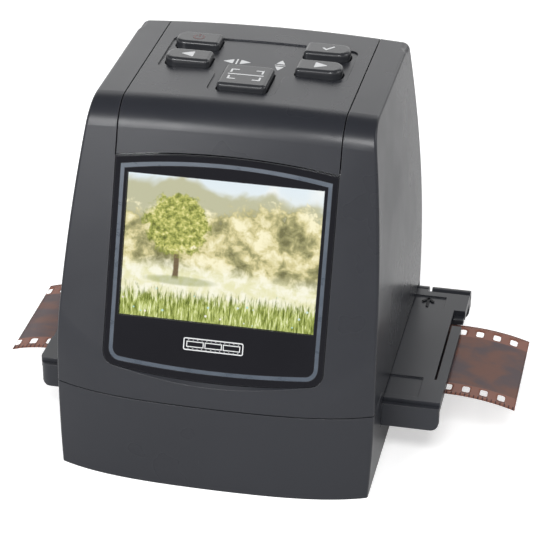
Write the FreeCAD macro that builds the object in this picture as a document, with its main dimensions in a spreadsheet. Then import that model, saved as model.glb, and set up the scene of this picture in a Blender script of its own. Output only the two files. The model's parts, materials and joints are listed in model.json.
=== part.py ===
import FreeCAD, Part
import Sketcher
import math
import os

V = FreeCAD.Vector
DOC = FreeCAD.newDocument("FilmScanner")

# Driving sizes in millimetres, angles in degrees
SIZES = {
    # outer form of the body
    "half_width": 40.8,
    "swell_height": 27.0,
    "side_radius": 430.0,
    "front_foot": 39.9,
    "front_brow": 38.4,
    "brow_height": 27.0,
    "brow_radius": 40.0,
    "front_lean": 20.56,
    "crease_offset": 28.0,
    "crease_sweep": 1.7,
    "crease_sweep_high": 0.8,
    "corner_station": 42.0,
    "corner_sweep": 6.0,
    "corner_sweep_high": 2.0,
    "body_height": 94.0,
    "crown_drop": 0.8,
    "corner_drop": 1.8,
    "shoulder_radius": 9.0,
    "rear_top": 41.2,
    "rear_belly": 44.4,
    "belly_height": 50.0,
    "belly_radius": 300.0,
    "rear_foot": 43.8,
    "rear_edge_radius": 2.5,
    "corner_radius": 2.0,
    "edge_radius": 0.8,
    # walls, seams and running clearances
    "wall": 2.0,
    "cover_wall": 1.6,
    "flange_skin": 1.7,
    "flange_back": 3.2,
    "flange_reach": 3.4,
    "seam_height": 23.5,
    "seam_gap": 0.3,
    "seam_depth": 0.6,
    "cover_gap": 0.3,
    "fit_gap": 0.15,
    "cut_over": 5.0,
    # display window, in the leaning plane of the front
    "window_sink": 0.8,
    "window_half": 28.0,
    "window_top_arch": 2.1,
    "window_low_arch": 2.3,
    "window_corner": 3.6,
    "lip_spread": 4.4,
    "lip_rise": 2.0,
    "frame_thick": 1.0,
    "line_half": 26.6,
    "line_top_margin": 1.6,
    "line_low_margin": 1.1,
    "line_low_arch": 1.4,
    "line_corner": 3.2,
    "line_width": 0.95,
    "line_deep": 0.3,
    "picture_width": 49.6,
    "pane_thick": 0.8,
    "panel_width": 54.0,
    "panel_margin": 5.2,
    "panel_thick": 2.6,
    "seat_thick": 1.5,
    "bracket_width": 59.0,
    "bracket_margin": 5.0,
    "bracket_thick": 1.0,
    "bracket_opening": 30.0,
    # keys on the top
    "key_row_back": 25.0,
    "key_row_front": 14.0,
    "key_side": 17.0,
    "key_length": 11.8,
    "key_depth": 6.8,
    "key_round": 3.0,
    "key_inner_round": 1.1,
    "scan_centre": 4.2,
    "scan_width": 12.6,
    "scan_depth": 12.4,
    "scan_round": 1.3,
    "key_rise": 1.6,
    "key_edge": 0.9,
    "key_flange": 0.9,
    "key_flange_thick": 0.8,
    "key_flange_drop": 2.8,
    "key_gap": 0.3,
    "key_travel": 0.6,
    "recess_half": 24.4,
    "recess_back": 29.4,
    "recess_front": 9.2,
    "recess_stem_half": 8.7,
    "recess_stem_front": -3.4,
    "recess_corner": 2.2,
    "recess_deep": 0.35,
    # film holder
    "holder_left": 50.0,
    "holder_right": 55.3,
    "holder_front": 20.3,
    "holder_rear": 41.5,
    "holder_low": 12.8,
    "holder_top": 20.4,
    "slot_gap": 0.5,
    "film_level": 17.6,
    "film_thick": 0.14,
    "film_width": 35.0,
    "film_centre": 8.0,
    "film_play": 0.15,
    "film_right": 73.3,
    "film_left": 59.6,
    "film_curl_right": 58.0,
    "film_curl_left": 34.0,
    "hole_pitch": 4.8,
    "hole_margin": 3.34,
    "hole_long": 1.98,
    "hole_wide": 2.8,
    "hole_inset": 2.0,
    "frame_long": 36.6,
    "frame_wide": 24.6,
    "lid_front": 18.8,
    "hinge_level": 18.6,
    "hinge_back": 39.4,
    "hinge_radius": 1.9,
    "pin_radius": 0.7,
    "pin_gap": 0.05,
    "knuckle_long": 10.6,
    "knuckle_gap": 0.4,
    "notch_wide": 0.9,
    "end_setback": 1.6,
    "end_round": 2.3,
    "holder_corner": 3.0,
    "end_cut": 3.1,
    "end_cut_front": 8.0,
    "end_cut_back": 28.4,
    "latch_slit": 0.5,
    "latch_back": 21.0,
    "latch_level": 19.9,
    "catch_level": 19.0,
    "mark_right": 49.3,
    "mark_long": 17.0,
    "mark_deep": 0.4,
    "front_mark_back": 7.4,
    "front_mark_front": 17.1,
    "rear_mark_back": 35.0,
    "rear_mark_front": 28.3,
    # inside: guides, light, optics and boards
    "plate_thick": 2.4,
    "screw_sink": 0.3,
    "head_thick": 0.9,
    "foot_radius": 4.0,
    "foot_thick": 1.2,
    "foot_x": 24.0,
    "foot_y": 30.0,
    "boss_x": 33.8,
    "boss_y": 24.5,
    "boss_y_back": 33.5,
    "boss_radius": 3.2,
    "screw_radius": 1.25,
    "screw_head": 2.4,
    "guide_thick": 1.6,
    "guide_half": 38.3,
    "guide_front": 31.0,
    "guide_back": 41.6,
    "guide_leg": 4.0,
    "light_width": 52.0,
    "light_depth": 40.0,
    "light_wall": 1.5,
    "light_ledge": 1.5,
    "diffuser_thick": 1.5,
    "led_board_thick": 1.6,
    "led_size": 3.0,
    "led_high": 1.2,
    "aperture_width": 40.0,
    "aperture_depth": 28.0,
    "tower_width": 48.0,
    "tower_depth": 36.0,
    "optics_drop": 32.0,
    "tower_wall": 1.8,
    "tower_taper": 9.0,
    "mount_size": 17.0,
    "mount_high": 6.0,
    "barrel_radius": 6.0,
    "barrel_long": 15.0,
    "barrel_flange": 7.4,
    "glass_radius": 4.6,
    "sensor_board_width": 32.0,
    "sensor_board_depth": 26.0,
    "board_thick": 1.6,
    "chip_size": 8.0,
    "chip_high": 1.2,
    "main_board_drop": 20.0,
    "main_board_half": 32.0,
    "main_board_front": 6.0,
    "board_setback": 3.6,
    "spacer_radius": 2.0,
    "spacer_x": 13.0,
    "spacer_y": 10.0,
    "usb_x": -14.0,
    "usb_width": 8.0,
    "usb_high": 4.0,
    "usb_long": 7.5,
    "card_x": 9.0,
    "card_width": 27.0,
    "card_high": 3.4,
    "card_long": 28.0,
    "jack_x": -25.0,
    "jack_width": 7.0,
    "jack_high": 6.0,
    "jack_long": 12.0,
    "jack_bore": 1.8,
    "socket_setback": 2.2,
    "chip_gap": 2.2,
    "rear_cover_half": 33.0,
    "rear_cover_low": 27.0,
    "rear_cover_drop": 6.0,
    "rear_screw_x": 30.4,
    "key_board_drop": 8.0,
    "key_board_half": 25.5,
    "key_board_front": 6.0,
    "key_board_back": 34.6,
    "switch_size": 6.0,
    "switch_high": 1.6,
    "plunger_radius": 1.6,
    "post_radius": 2.2,
    "flex_width": 18.0,
    "flex_thick": 0.3,
}

# Sizes that follow from others. The plain numbers are shares of the front's rise above the seam.
FOLLOWING = {
    "front_rise": "body_height - seam_height",
    "window_height": "seam_height + front_rise * 0.447",
    "window_back": "front_brow - tan(front_lean) * (window_height - brow_height) - window_sink",
    "window_top": "front_rise * 0.386",
    "window_low": "front_rise * 0.349",
    "line_top": "window_top - line_top_margin",
    "line_low": "window_low - line_low_margin",
    "picture_height": "front_rise * 0.508",
    "picture_rise": "front_rise * 0.0816",
    "panel_height": "picture_height + panel_margin",
    "bracket_height": "panel_height + bracket_margin",
    "key_top": "body_height + key_rise",
    "key_flange_top": "body_height - key_flange_drop",
    "key_board_level": "body_height - key_board_drop",
    "main_board_level": "body_height - main_board_drop",
    "tower_top": "body_height - optics_drop",
    "rear_cover_top": "body_height - rear_cover_drop",
    "socket_reach": "rear_belly - socket_setback",
    "main_board_back": "socket_reach - board_setback",
}

# The sheet of sizes. Worked-out values get cells of their own, with a formula.
SHEET = DOC.addObject("Spreadsheet::Sheet", "Sizes")
for row, (alias, amount) in enumerate(SIZES.items(), start=1):
    SHEET.set(f"A{row}", alias)
    SHEET.set(f"B{row}", str(amount))
    SHEET.setAlias(f"B{row}", alias)
for row, (alias, formula) in enumerate(FOLLOWING.items(), start=len(SIZES) + 1):
    SHEET.set(f"A{row}", alias)
    SHEET.set(f"B{row}", "=" + formula)
    SHEET.setAlias(f"B{row}", alias)
SHEET.recompute()
DERIVED = {}


def cell(formula):
    """The alias of a formula's cell, which is made when the formula is first used."""
    formula = str(formula)
    if formula in SIZES or formula in FOLLOWING:
        return formula
    if formula not in DERIVED:
        row = len(SIZES) + len(FOLLOWING) + len(DERIVED) + 1
        alias = f"derived_{len(DERIVED) + 1}"
        SHEET.set(f"A{row}", alias)
        SHEET.set(f"B{row}", "=" + formula)
        SHEET.setAlias(f"B{row}", alias)
        SHEET.recompute()
        DERIVED[formula] = alias
    return DERIVED[formula]


def size(formula):
    """The value of a formula in the sheet, in millimetres or degrees."""
    return float(SHEET.get(cell(formula)))


def bind(thing, name, formula):
    """Ties one property of an object to a cell of the sheet."""
    thing.setExpression(name, "Sizes." + cell(formula))


# Small makers for primitives, booleans and bodies

def box(label, x, y, z):
    """A Part::Box between pairs of formulas along X, Y and Z."""
    block = DOC.addObject("Part::Box", label)
    for name, axis, (low, high) in zip(("Length", "Width", "Height"), "xyz", (x, y, z)):
        bind(block, name, f"({high}) - ({low})")
        bind(block, f"Placement.Base.{axis}", low)
    return block


def cylinder(label, x, y, z, radius, height, axis=V(0, 0, 1)):
    """A Part::Cylinder that starts at a point and runs along +X, +Y or +Z."""
    rod = DOC.addObject("Part::Cylinder", label)
    rod.Placement = FreeCAD.Placement(V(), FreeCAD.Rotation(V(0, 0, 1), axis))
    for name, formula in zip("xyz", (x, y, z)):
        bind(rod, f"Placement.Base.{name}", formula)
    bind(rod, "Radius", radius)
    bind(rod, "Height", height)
    return rod


def joined(label, pieces):
    """A Part::MultiFuse of several objects."""
    union = DOC.addObject("Part::MultiFuse", label)
    union.Shapes = pieces
    return union


def cut(label, base, tools):
    """A Part::Cut of one object by one or more others."""
    tool = tools[0] if len(tools) == 1 else joined(label + "_tools", tools)
    piece = DOC.addObject("Part::Cut", label)
    piece.Base = base
    piece.Tool = tool
    return piece


def common(label, base, tool):
    """A Part::Common of two objects."""
    piece = DOC.addObject("Part::Common", label)
    piece.Base = base
    piece.Tool = tool
    return piece


def edges_rounded(label, base, rounds):
    """A Part::Fillet of the edges that tests pick, each test with its own radius."""
    DOC.recompute()
    piece = DOC.addObject("Part::Fillet", label)
    piece.Base = base
    piece.Edges = [(number, size(radius), size(radius))
                   for number, edge in enumerate(base.Shape.Edges, start=1)
                   for chosen, radius in rounds if chosen(edge.BoundBox)]
    return piece


def shape_piece(label, shape):
    """A Part::Feature for a form that the parametric objects can't make."""
    piece = DOC.addObject("Part::Feature", label)
    piece.Shape = shape
    piece.Placement = FreeCAD.Placement(V(), FreeCAD.Rotation())
    return piece


def new_body(label):
    body = DOC.addObject("PartDesign::Body", label)
    return body


def sketch_on(body, role, offset="0"):
    """A sketch on one of the body's own origin planes, raised by a formula."""
    plane = [part for part in body.Origin.OriginFeatures if part.Role == role][0]
    sketch = body.newObject("Sketcher::SketchObject", body.Name + "_sketch")
    sketch.AttachmentSupport = [(plane, "")]
    sketch.MapMode = "FlatFace"
    bind(sketch, "AttachmentOffset.Base.z", offset)
    return sketch


def add_rectangle(sketch, across, along):
    """A rectangle between two pairs of formulas, every side driven by the sheet."""
    left, right = (size(formula) for formula in across)
    low, high = (size(formula) for formula in along)
    corners = [V(left, low, 0), V(right, low, 0), V(right, high, 0), V(left, high, 0)]
    first = sketch.GeometryCount
    for start, end in zip(corners, corners[1:] + corners[:1]):
        sketch.addGeometry(Part.LineSegment(start, end), False)

    rules = [Sketcher.Constraint("Coincident", first + i, 2, first + (i + 1) % 4, 1) for i in range(4)]
    rules += [Sketcher.Constraint("Horizontal", first), Sketcher.Constraint("Horizontal", first + 2)]
    rules += [Sketcher.Constraint("Vertical", first + 1), Sketcher.Constraint("Vertical", first + 3)]
    sketch.addConstraint(rules)
    limits = (("DistanceX", first, across[0], left), ("DistanceY", first, along[0], low),
              ("DistanceX", first + 2, across[1], right), ("DistanceY", first + 2, along[1], high))
    for kind, line, formula, amount in limits:
        index = sketch.addConstraint(Sketcher.Constraint(kind, -1, 1, line, 1, amount))
        bind(sketch, f"Constraints[{index}]", formula)


def add_circle(sketch, x, y, radius):
    """A circle whose centre and radius are driven by the sheet."""
    place = V(size(x), size(y), 0)
    ring = sketch.addGeometry(Part.Circle(place, V(0, 0, 1), size(radius)), False)
    for kind, formula, amount in (("DistanceX", x, place.x), ("DistanceY", y, place.y)):
        index = sketch.addConstraint(Sketcher.Constraint(kind, -1, 1, ring, 3, amount))
        bind(sketch, f"Constraints[{index}]", formula)
    index = sketch.addConstraint(Sketcher.Constraint("Radius", ring, size(radius)))
    bind(sketch, f"Constraints[{index}]", radius)


def pad(body, sketch, height, taper=None):
    feature = body.newObject("PartDesign::Pad", body.Name + "_pad")
    feature.Profile = sketch
    bind(feature, "Length", height)
    if taper is not None:
        bind(feature, "TaperAngle", taper)
    DOC.recompute()
    return feature


def pocket(body, sketch, depth, taper=None):
    """A pocket along the sketch's own normal, checked by the volume that it takes."""
    before = body.Shape.Volume
    feature = body.newObject("PartDesign::Pocket", body.Name + "_pocket")
    feature.Profile = sketch
    feature.Reversed = True
    bind(feature, "Length", depth)
    if taper is not None:
        bind(feature, "TaperAngle", taper)
    DOC.recompute()
    if not body.Shape.Volume < before:
        raise RuntimeError(f"the pocket in {body.Label} takes nothing away")
    return feature


def round_edges(body, radius, chosen):
    """A PartDesign fillet on the edges of the body's tip that a test picks."""
    base = body.Tip
    names = [f"Edge{i}" for i, edge in enumerate(base.Shape.Edges, start=1) if chosen(edge)]
    feature = body.newObject("PartDesign::Fillet", body.Name + "_round")
    feature.Base = (base, names)
    bind(feature, "Radius", radius)
    DOC.recompute()
    return feature


# The outer form: side profiles lofted across the width, trimmed by the curved sides

LEAN = math.radians(size("front_lean"))
OVER = size("cut_over")


def corner_points(station):
    """The corners of the side profile, seen from the left, at one place across the width."""
    stations = (0.0, size("crease_offset"), size("corner_station"))
    at = stations.index(station)
    low = (0.0, size("crease_sweep"), size("corner_sweep"))[at]
    high = (0.0, size("crease_sweep_high"), size("corner_sweep_high"))[at]
    top = size("body_height") - (0.0, size("crown_drop"), size("corner_drop"))[at]
    foot = -size("front_foot") + low
    low_slope = (size("front_foot") - size("front_brow")) / size("brow_height")
    high_slope = math.tan(LEAN)
    gap = high - low
    meet = size("brow_height") - gap / (high_slope - low_slope)
    shoulder = foot + low_slope * meet + high_slope * (top - meet)
    return [(size("rear_foot"), 0.0), (foot, 0.0), (foot + low_slope * meet, meet), (shoulder, top),
            (size("rear_top"), top), (size("rear_belly"), size("belly_height"))]


def inset_corners(corners, inset):
    """The same outline with every side moved inwards; the foot goes down instead, to stay open."""
    lines = []
    for i, start in enumerate(corners):
        end = corners[(i + 1) % len(corners)]
        run, rise = end[0] - start[0], end[1] - start[1]
        length = math.hypot(run, rise)
        step = -OVER if i == 0 and inset > 0 else inset
        shift = (step * rise / length, -step * run / length)
        lines.append(((start[0] + shift[0], start[1] + shift[1]), (run, rise)))
    moved = []
    for i, (point, way) in enumerate(lines):
        before, back = lines[i - 1]
        cross = back[0] * way[1] - back[1] * way[0]
        along = ((point[0] - before[0]) * way[1] - (point[1] - before[1]) * way[0]) / cross
        moved.append((before[0] + back[0] * along, before[1] + back[1] * along))
    return moved


def rounded_wire(points, radii):
    """A closed wire through corner points, each corner rounded by its own radius."""
    edges = []
    ends = []
    for i, corner in enumerate(points):
        to_last = (points[i - 1] - corner).normalize()
        to_next = (points[(i + 1) % len(points)] - corner).normalize()
        if radii[i] <= 0:
            ends.append((corner, corner, None))
            continue
        half = to_last.getAngle(to_next) / 2
        reach = radii[i] / math.tan(half)
        middle = (to_last + to_next).normalize() * (radii[i] / math.sin(half) - radii[i])
        ends.append((corner + to_last * reach, corner + to_next * reach, corner + middle))
    for i, (start, end, middle) in enumerate(ends):
        if middle is not None:
            edges.append(Part.Arc(start, middle, end).toShape())
        following = ends[(i + 1) % len(ends)][0]
        edges.append(Part.LineSegment(end, following).toShape())
    return Part.Wire(edges)


def side_outline(inset):
    """The front view of the form: two gently swelling sides, as a face in the XZ plane."""
    floor, roof = -OVER, size("body_height") + OVER
    waist, radius = size("swell_height"), size("side_radius")
    half = size("half_width") - inset

    def reach(level):
        return half - (radius - math.sqrt(radius ** 2 - (level - waist) ** 2))

    def side(sign):
        return [V(sign * reach(level), 0, level) for level in (floor, waist, roof)]

    right, left = side(1), side(-1)
    edges = [Part.Arc(*right).toShape(), Part.LineSegment(right[2], left[2]).toShape(),
             Part.Arc(*reversed(left)).toShape(), Part.LineSegment(left[0], right[0]).toShape()]
    return Part.Face(Part.Wire(edges))


def body_form(inset):
    """The whole outer form, moved inwards by an inset."""
    radii = [0, 0, size("brow_radius"), size("shoulder_radius") - inset,
             max(size("rear_edge_radius") - inset, size("fit_gap")), size("belly_radius")]
    wires = []
    for sign, station in ((-1, "corner_station"), (-1, "crease_offset"), (0, ""),
                          (1, "crease_offset"), (1, "corner_station")):
        offset = size(station) if station else 0.0
        corners = inset_corners(corner_points(offset), inset)
        wires.append(rounded_wire([V(sign * offset, y, z) for y, z in corners], radii))
    loft = Part.makeLoft(wires, True, False)
    sides = side_outline(inset)
    sides.translate(V(0, -size("front_foot") - OVER, 0))
    depth = size("front_foot") + size("rear_belly") + 2 * OVER
    return loft.common(sides.extrude(V(0, depth, 0)))


def edge_rounded(form):
    """The outer form with its rear corners rounded and its side edges eased."""
    base = shape_piece("outer_form", form.Solids[0])
    near_side = size("crease_offset") + size("crown_drop") * 4
    rear_line = size("rear_top") - size("rear_edge_radius")
    rounds = []
    for number, edge in enumerate(base.Shape.Edges, start=1):
        room = edge.BoundBox
        if abs(room.Center.x) < near_side or room.ZMax < size("fit_gap"):
            continue
        if room.XLength > size("corner_station") - half_width_top():
            continue
        at_rear = room.YMin > rear_line and room.ZMax < size("body_height") - size("corner_drop")
        radius = size("corner_radius") if at_rear else size("edge_radius")
        if room.YMin < rear_line or at_rear:
            rounds.append((number, radius, radius))
    eased = DOC.addObject("Part::Fillet", "outer_form_eased")
    eased.Base = base
    eased.Edges = rounds
    DOC.recompute()
    return eased.Shape.Solids[0]


def half_width_top():
    """Half the width of the form where the top meets the sides."""
    waist, radius = size("swell_height"), size("side_radius")
    rise = size("body_height") + OVER - waist
    return size("half_width") - (radius - math.sqrt(radius ** 2 - rise ** 2))


def block(x, y, z):
    """A plain solid box between limits, for cutting and keeping parts of the shells."""
    low, high = V(x[0], y[0], z[0]), V(x[1], y[1], z[1])
    span = high - low
    return Part.makeBox(span.x, span.y, span.z, low)


def disc(x, y, radius, low, high):
    """A plain upright cylinder between two heights."""
    return Part.makeCylinder(radius, high - low, V(x, y, low))


FAR = 2 * size("body_height")
OUTER = edge_rounded(body_form(0.0))
COVER_BACK = body_form(size("cover_wall"))
FLANGE_FRONT = body_form(size("flange_skin"))
WALL_BACK = body_form(size("wall"))
FLANGE_BACK = body_form(size("flange_back"))
SHELL = OUTER.cut(WALL_BACK)
COVER_SKIN = OUTER.cut(COVER_BACK)
FLANGE_SKIN = FLANGE_FRONT.cut(FLANGE_BACK)

# The display window's own plane: X across, Y up the slope, Z out of the front

WINDOW_PLACE = FreeCAD.Placement(V(0, -size("window_back"), size("window_height")),
                                 FreeCAD.Rotation(V(1, 0, 0), 90 - size("front_lean")))


def window_outline(half, top, top_arch, low, low_arch, corner, level):
    """The window's outline: arched top and foot, straight sides, rounded lower corners."""
    points = [V(-half, top, level), V(0, top + top_arch, level), V(half, top, level)]
    foot = [V(half, -low, level), V(0, -low - low_arch, level), V(-half, -low, level)]
    sagitta = low_arch
    radius = (half ** 2 + sagitta ** 2) / (2 * sagitta)
    slope = math.asin(half / radius)
    turn = (math.pi / 2 - slope) / 2
    reach = corner * math.tan(turn)
    up = V(half, -low + reach, level)
    along = slope - reach / radius
    centre = V(0, -low - low_arch + radius, level)
    on_arc = centre + V(radius * math.sin(along), -radius * math.cos(along), 0)
    to_centre = V(-math.cos(turn), math.sin(turn), 0)
    apex = foot[0] + to_centre * (corner / math.cos(turn) - corner)
    mirror = [V(-p.x, p.y, p.z) for p in (up, apex, on_arc)]
    edges = [Part.Arc(*points).toShape(),
             Part.LineSegment(points[2], up).toShape(),
             Part.Arc(up, apex, on_arc).toShape(),
             Part.Arc(on_arc, foot[1], mirror[2]).toShape(),
             Part.Arc(mirror[2], mirror[1], mirror[0]).toShape(),
             Part.LineSegment(mirror[0], points[0]).toShape()]
    return Part.Wire(edges)


def frame_outline(grow, level, spread=0.0):
    """The black frame's outline, grown all round and, for the lip, spread downwards."""
    return window_outline(size("window_half") + grow, size("window_top") + grow, size("window_top_arch"),
                          size("window_low") + grow, size("window_low_arch") + spread,
                          size("window_corner") + grow, level)


def line_outline(inset, level):
    """The inlaid line's outline, moved inwards by an inset."""
    half, top, low = size("line_half") - inset, size("line_top") - inset, size("line_low") - inset
    return window_outline(half, top, size("window_top_arch"), low, size("line_low_arch"),
                          size("line_corner") - inset, level)


def prism(wire, depth):
    """A solid from an outline in the window's plane, going back from it, placed on the body."""
    solid = Part.Face(wire).extrude(V(0, 0, -depth))
    solid.Placement = WINDOW_PLACE
    return solid


def above_window(gap):
    """The space above the window's arched top edge, where the top cover comes down the front."""
    half, top = size("window_half") + gap, size("window_top") + size("cover_gap") * 2 - gap
    level = 2 * size("lip_rise") + OVER
    reach = FAR / 4
    points = [V(-half, top, level), V(0, top + size("window_top_arch"), level), V(half, top, level)]
    edges = [Part.Arc(*points).toShape(),
             Part.LineSegment(points[2], V(half, reach, level)).toShape(),
             Part.LineSegment(V(half, reach, level), V(-half, reach, level)).toShape(),
             Part.LineSegment(V(-half, reach, level), points[0]).toShape()]
    front = prism(Part.Wire(edges), size("lip_rise") + 4 * OVER)
    behind = block((-half, half), (-size("shoulder_radius") * 2, FAR),
                   (size("rear_cover_top") + size("fit_gap") - gap, FAR))
    return front.fuse(behind)


# Shells of the housing, and the levels of the plates inside it

PLATE_TOP = "plate_thick"
GUIDE_LOW = "holder_low - cover_gap - guide_thick"
GUIDE_HIGH = "holder_top + slot_gap + cover_gap"
SLOT_FRONT = -size("holder_front") - size("slot_gap")
SLOT_BACK = size("holder_rear") + size("slot_gap")
SLOT_LOW = size("holder_low") - size("slot_gap")
SLOT_TOP = size("holder_top") + size("slot_gap")
SEAM = size("seam_height")


def base_space():
    """Where the base is: up to the seam in front, and up to the slot's top behind it."""
    front = block((-FAR, FAR), (-FAR, SLOT_FRONT), (-OVER, SEAM))
    return front.fuse(block((-FAR, FAR), (SLOT_FRONT, FAR), (-OVER, SLOT_TOP)))


def make_base_housing():
    """The lower shell, with the slot through both sides and four screw bosses."""
    shell = SHELL.common(base_space())
    groove = OUTER.cut(body_form(size("seam_depth")))
    groove = groove.common(block((-FAR, FAR), (-FAR, SLOT_FRONT), (SEAM - size("seam_gap"), SEAM)))
    slot = block((-FAR, FAR), (SLOT_FRONT, SLOT_BACK), (SLOT_LOW, SLOT_TOP))
    low = size("plate_thick") + size("fit_gap")
    shell = shell.cut(groove.fuse(slot))
    for x, y in boss_places():
        side = math.copysign(size("half_width") - size("wall") / 2, x)
        boss = disc(x, y, size("boss_radius"), low, size(GUIDE_LOW))
        width = size("boss_radius")
        rib = block(sorted((x, side)), (y - width / 2, y + width / 2), (low, size(GUIDE_LOW)))
        hole = disc(x, y, size("screw_radius"), low - OVER, size(GUIDE_LOW) - size("wall"))
        boss = boss.fuse(rib).common(OUTER.common(body_form(size("seam_depth"))))
        shell = shell.fuse(boss).cut(hole)
    return shape_piece("base_housing", shell.removeSplitter())


def boss_places():
    x, front, back = size("boss_x"), -size("boss_y"), size("boss_y_back")
    return [(-x, front), (x, front), (-x, back), (x, back)]


def make_upper_shell():
    """The upper shell: two sides, the front's lower band, the window's seat and the covers' flanges."""
    shell = SHELL.common(block((-FAR, FAR), (-FAR, FAR), (-OVER, FAR))).cut(base_space())
    gap = size("cover_gap")
    half, low, top = size("rear_cover_half"), size("rear_cover_low"), size("rear_cover_top")
    fit = size("fit_gap")
    shell = shell.cut(above_window(gap))
    shell = shell.cut(block((-half - fit, half + fit), (0, FAR), (low - fit, top + fit)))
    opening = prism(frame_outline(size("fit_gap"), 0.0), size("wall") * 2)
    spread = frame_outline(fit, size("lip_rise"), size("lip_spread"))
    lip = Part.makeLoft([frame_outline(fit, 0.0), spread], True, True)
    lip.Placement = WINDOW_PLACE
    shell = shell.cut(opening.fuse(lip))
    reach = size("flange_reach")
    strips = []
    for side in (-1, 1):
        inner, outer = size("recess_half") + gap, size("window_half") + gap + reach / 2
        strips.append(block(sorted((side * inner, side * outer)), (-size("shoulder_radius") * 2, FAR),
                            (size("key_board_level"), FAR)))
    frame = block((-half - reach / 2, half + reach / 2), (size("main_board_front"), FAR),
                  (low - reach / 2, top + reach / 2))
    hole = block((-half + reach, half - reach), (0, FAR), (low + reach, top - reach))
    flange = FLANGE_SKIN.common(strips[0].fuse([strips[1], frame.cut(hole)]))
    seat = window_seat()
    bosses = [rear_boss(side) for side in (-1, 1)]
    shell = shell.fuse([flange, seat] + bosses)
    for side in (-1, 1):
        shell = shell.cut(rear_screw_hole(side, size("screw_radius") - size("fit_gap")))
    return shape_piece("upper_shell", shell.removeSplitter())


def window_seat():
    """The flat plate behind the frame, with the opening that the display panel sits in."""
    half = size("window_half") + size("wall") * 3 / 4
    level = -size("frame_thick")
    thick = size("seat_thick")
    low, top = -size("window_low") - size("window_low_arch"), size("window_top") - size("cover_gap")
    plate = Part.makeBox(2 * half, top - low, thick, V(-half, low, level - thick))
    fit = size("fit_gap")
    wide, high = size("panel_width") / 2 + fit, size("panel_height") / 2 + fit
    rise = size("picture_rise")
    hole = Part.makeBox(2 * wide, 2 * high, 2 * thick, V(-wide, rise - high, level - thick * 3 / 2))
    plate = plate.cut(hole)
    plate.Placement = WINDOW_PLACE
    return plate.common(body_form(size("seam_depth")))


def rear_boss(side):
    """A boss behind the rear cover's flange, for one of its screws."""
    start = size("rear_belly") - size("flange_back") - size("boss_radius")
    place = V(side * size("rear_screw_x"), start, size("belly_height"))
    depth = size("boss_radius") + size("flange_back") - size("flange_skin")
    boss = Part.makeCylinder(size("screw_head"), depth, place, V(0, 1, 0))
    return boss.common(FLANGE_FRONT)


def rear_screw_hole(side, radius):
    """The bore of one of the rear cover's screws."""
    start = size("rear_belly") - size("flange_back") - size("boss_radius") * 2
    place = V(side * size("rear_screw_x"), start, size("belly_height"))
    return Part.makeCylinder(radius, FAR, place, V(0, 1, 0))


def recess_outline(level):
    """The shallow T-shaped field round the keys."""
    half, back, front = size("recess_half"), size("recess_back"), size("recess_front")
    stem, foot = size("recess_stem_half"), size("recess_stem_front")
    points = [V(-half, front, level), V(-stem, front, level), V(-stem, foot, level), V(stem, foot, level),
              V(stem, front, level), V(half, front, level), V(half, back, level), V(-half, back, level)]
    corner = size("recess_corner")
    return rounded_wire(points, [corner] * len(points))


def key_outline(x, y, length, depth, left, right, grow, level):
    """A key's outline seen from above, with its own corner radii on the left and the right."""
    wide, deep = length / 2 + grow, depth / 2 + grow
    points = [V(x - wide, y - deep, level), V(x + wide, y - deep, level),
              V(x + wide, y + deep, level), V(x - wide, y + deep, level)]
    return rounded_wire(points, [left + grow, right + grow, right + grow, left + grow])


def key_forms():
    """Each key's name with its centre, length, depth and left and right corner radii."""
    side, back, front = size("key_side"), size("key_row_back"), size("key_row_front")
    length, depth = size("key_length"), size("key_depth")
    outer, inner = size("key_round"), size("key_inner_round")
    scan = size("scan_round")
    return {
        "power_key": (-side, back, length, depth, outer, inner),
        "left_key": (-side, front, length, depth, outer, inner),
        "ok_key": (side, back, length, depth, inner, outer),
        "right_key": (side, front, length, depth, inner, outer),
        "scan_key": (0.0, size("scan_centre"), size("scan_width"), size("scan_depth"), scan, scan),
    }


def make_top_cover():
    """The arched top cover, with the recessed field, the key holes and posts for the key board."""
    cover = COVER_SKIN.common(above_window(0.0))
    floor = size("key_flange_top")
    field = Part.Face(recess_outline(floor)).extrude(V(0, 0, OVER + size("crown_drop")))
    cover = cover.cut(field.cut(body_form(size("recess_deep"))))
    board_top = size("key_board_level") + size("board_thick")
    for x, y in post_places():
        cover = cover.fuse(disc(x, y, size("post_radius"), board_top, size("body_height")).common(
            body_form(size("cover_wall") / 2)))
        cover = cover.cut(disc(x, y, size("screw_radius") / 2, board_top, board_top + size("post_radius")))
    for form in key_forms().values():
        cover = cover.cut(Part.Face(key_outline(*form, size("key_gap"), floor)).extrude(V(0, 0, FAR / 8)))
    return shape_piece("top_cover", cover.removeSplitter())


POSTS_ACROSS = ("-(recess_half - post_radius - cover_gap)", "recess_half - post_radius - cover_gap")
POSTS_ALONG = ("recess_stem_front + post_radius", "key_board_back - post_radius")


def post_places():
    return [(size(x), size(y)) for y in POSTS_ALONG for x in POSTS_ACROSS]


def make_rear_cover():
    """The rear panel, with openings for the card, the socket and the jack, and two screw holes."""
    half, low, top = size("rear_cover_half"), size("rear_cover_low"), size("rear_cover_top")
    cover = COVER_SKIN.common(block((-half, half), (size("main_board_front"), FAR), (low, top)))
    gap = size("cover_gap")
    board = size("main_board_level") + size("board_thick")
    for x, width, height in (("usb_x", "usb_width", "usb_high"), ("card_x", "card_width", "card_high"),
                             ("jack_x", "jack_width", "jack_high")):
        reach = size(width) / 2 + gap
        levels = (board - gap, board + size(height) + gap)
        cover = cover.cut(block((size(x) - reach, size(x) + reach), (0, FAR), levels))
    for side in (-1, 1):
        cover = cover.cut(rear_screw_hole(side, size("screw_radius") + size("fit_gap")))
        sink = size("screw_head") + size("fit_gap")
        seat = V(side * size("rear_screw_x"), rear_seat(), size("belly_height"))
        cover = cover.cut(Part.makeCylinder(sink, FAR, seat, V(0, 1, 0)))
    return shape_piece("rear_cover", cover.removeSplitter())


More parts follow.
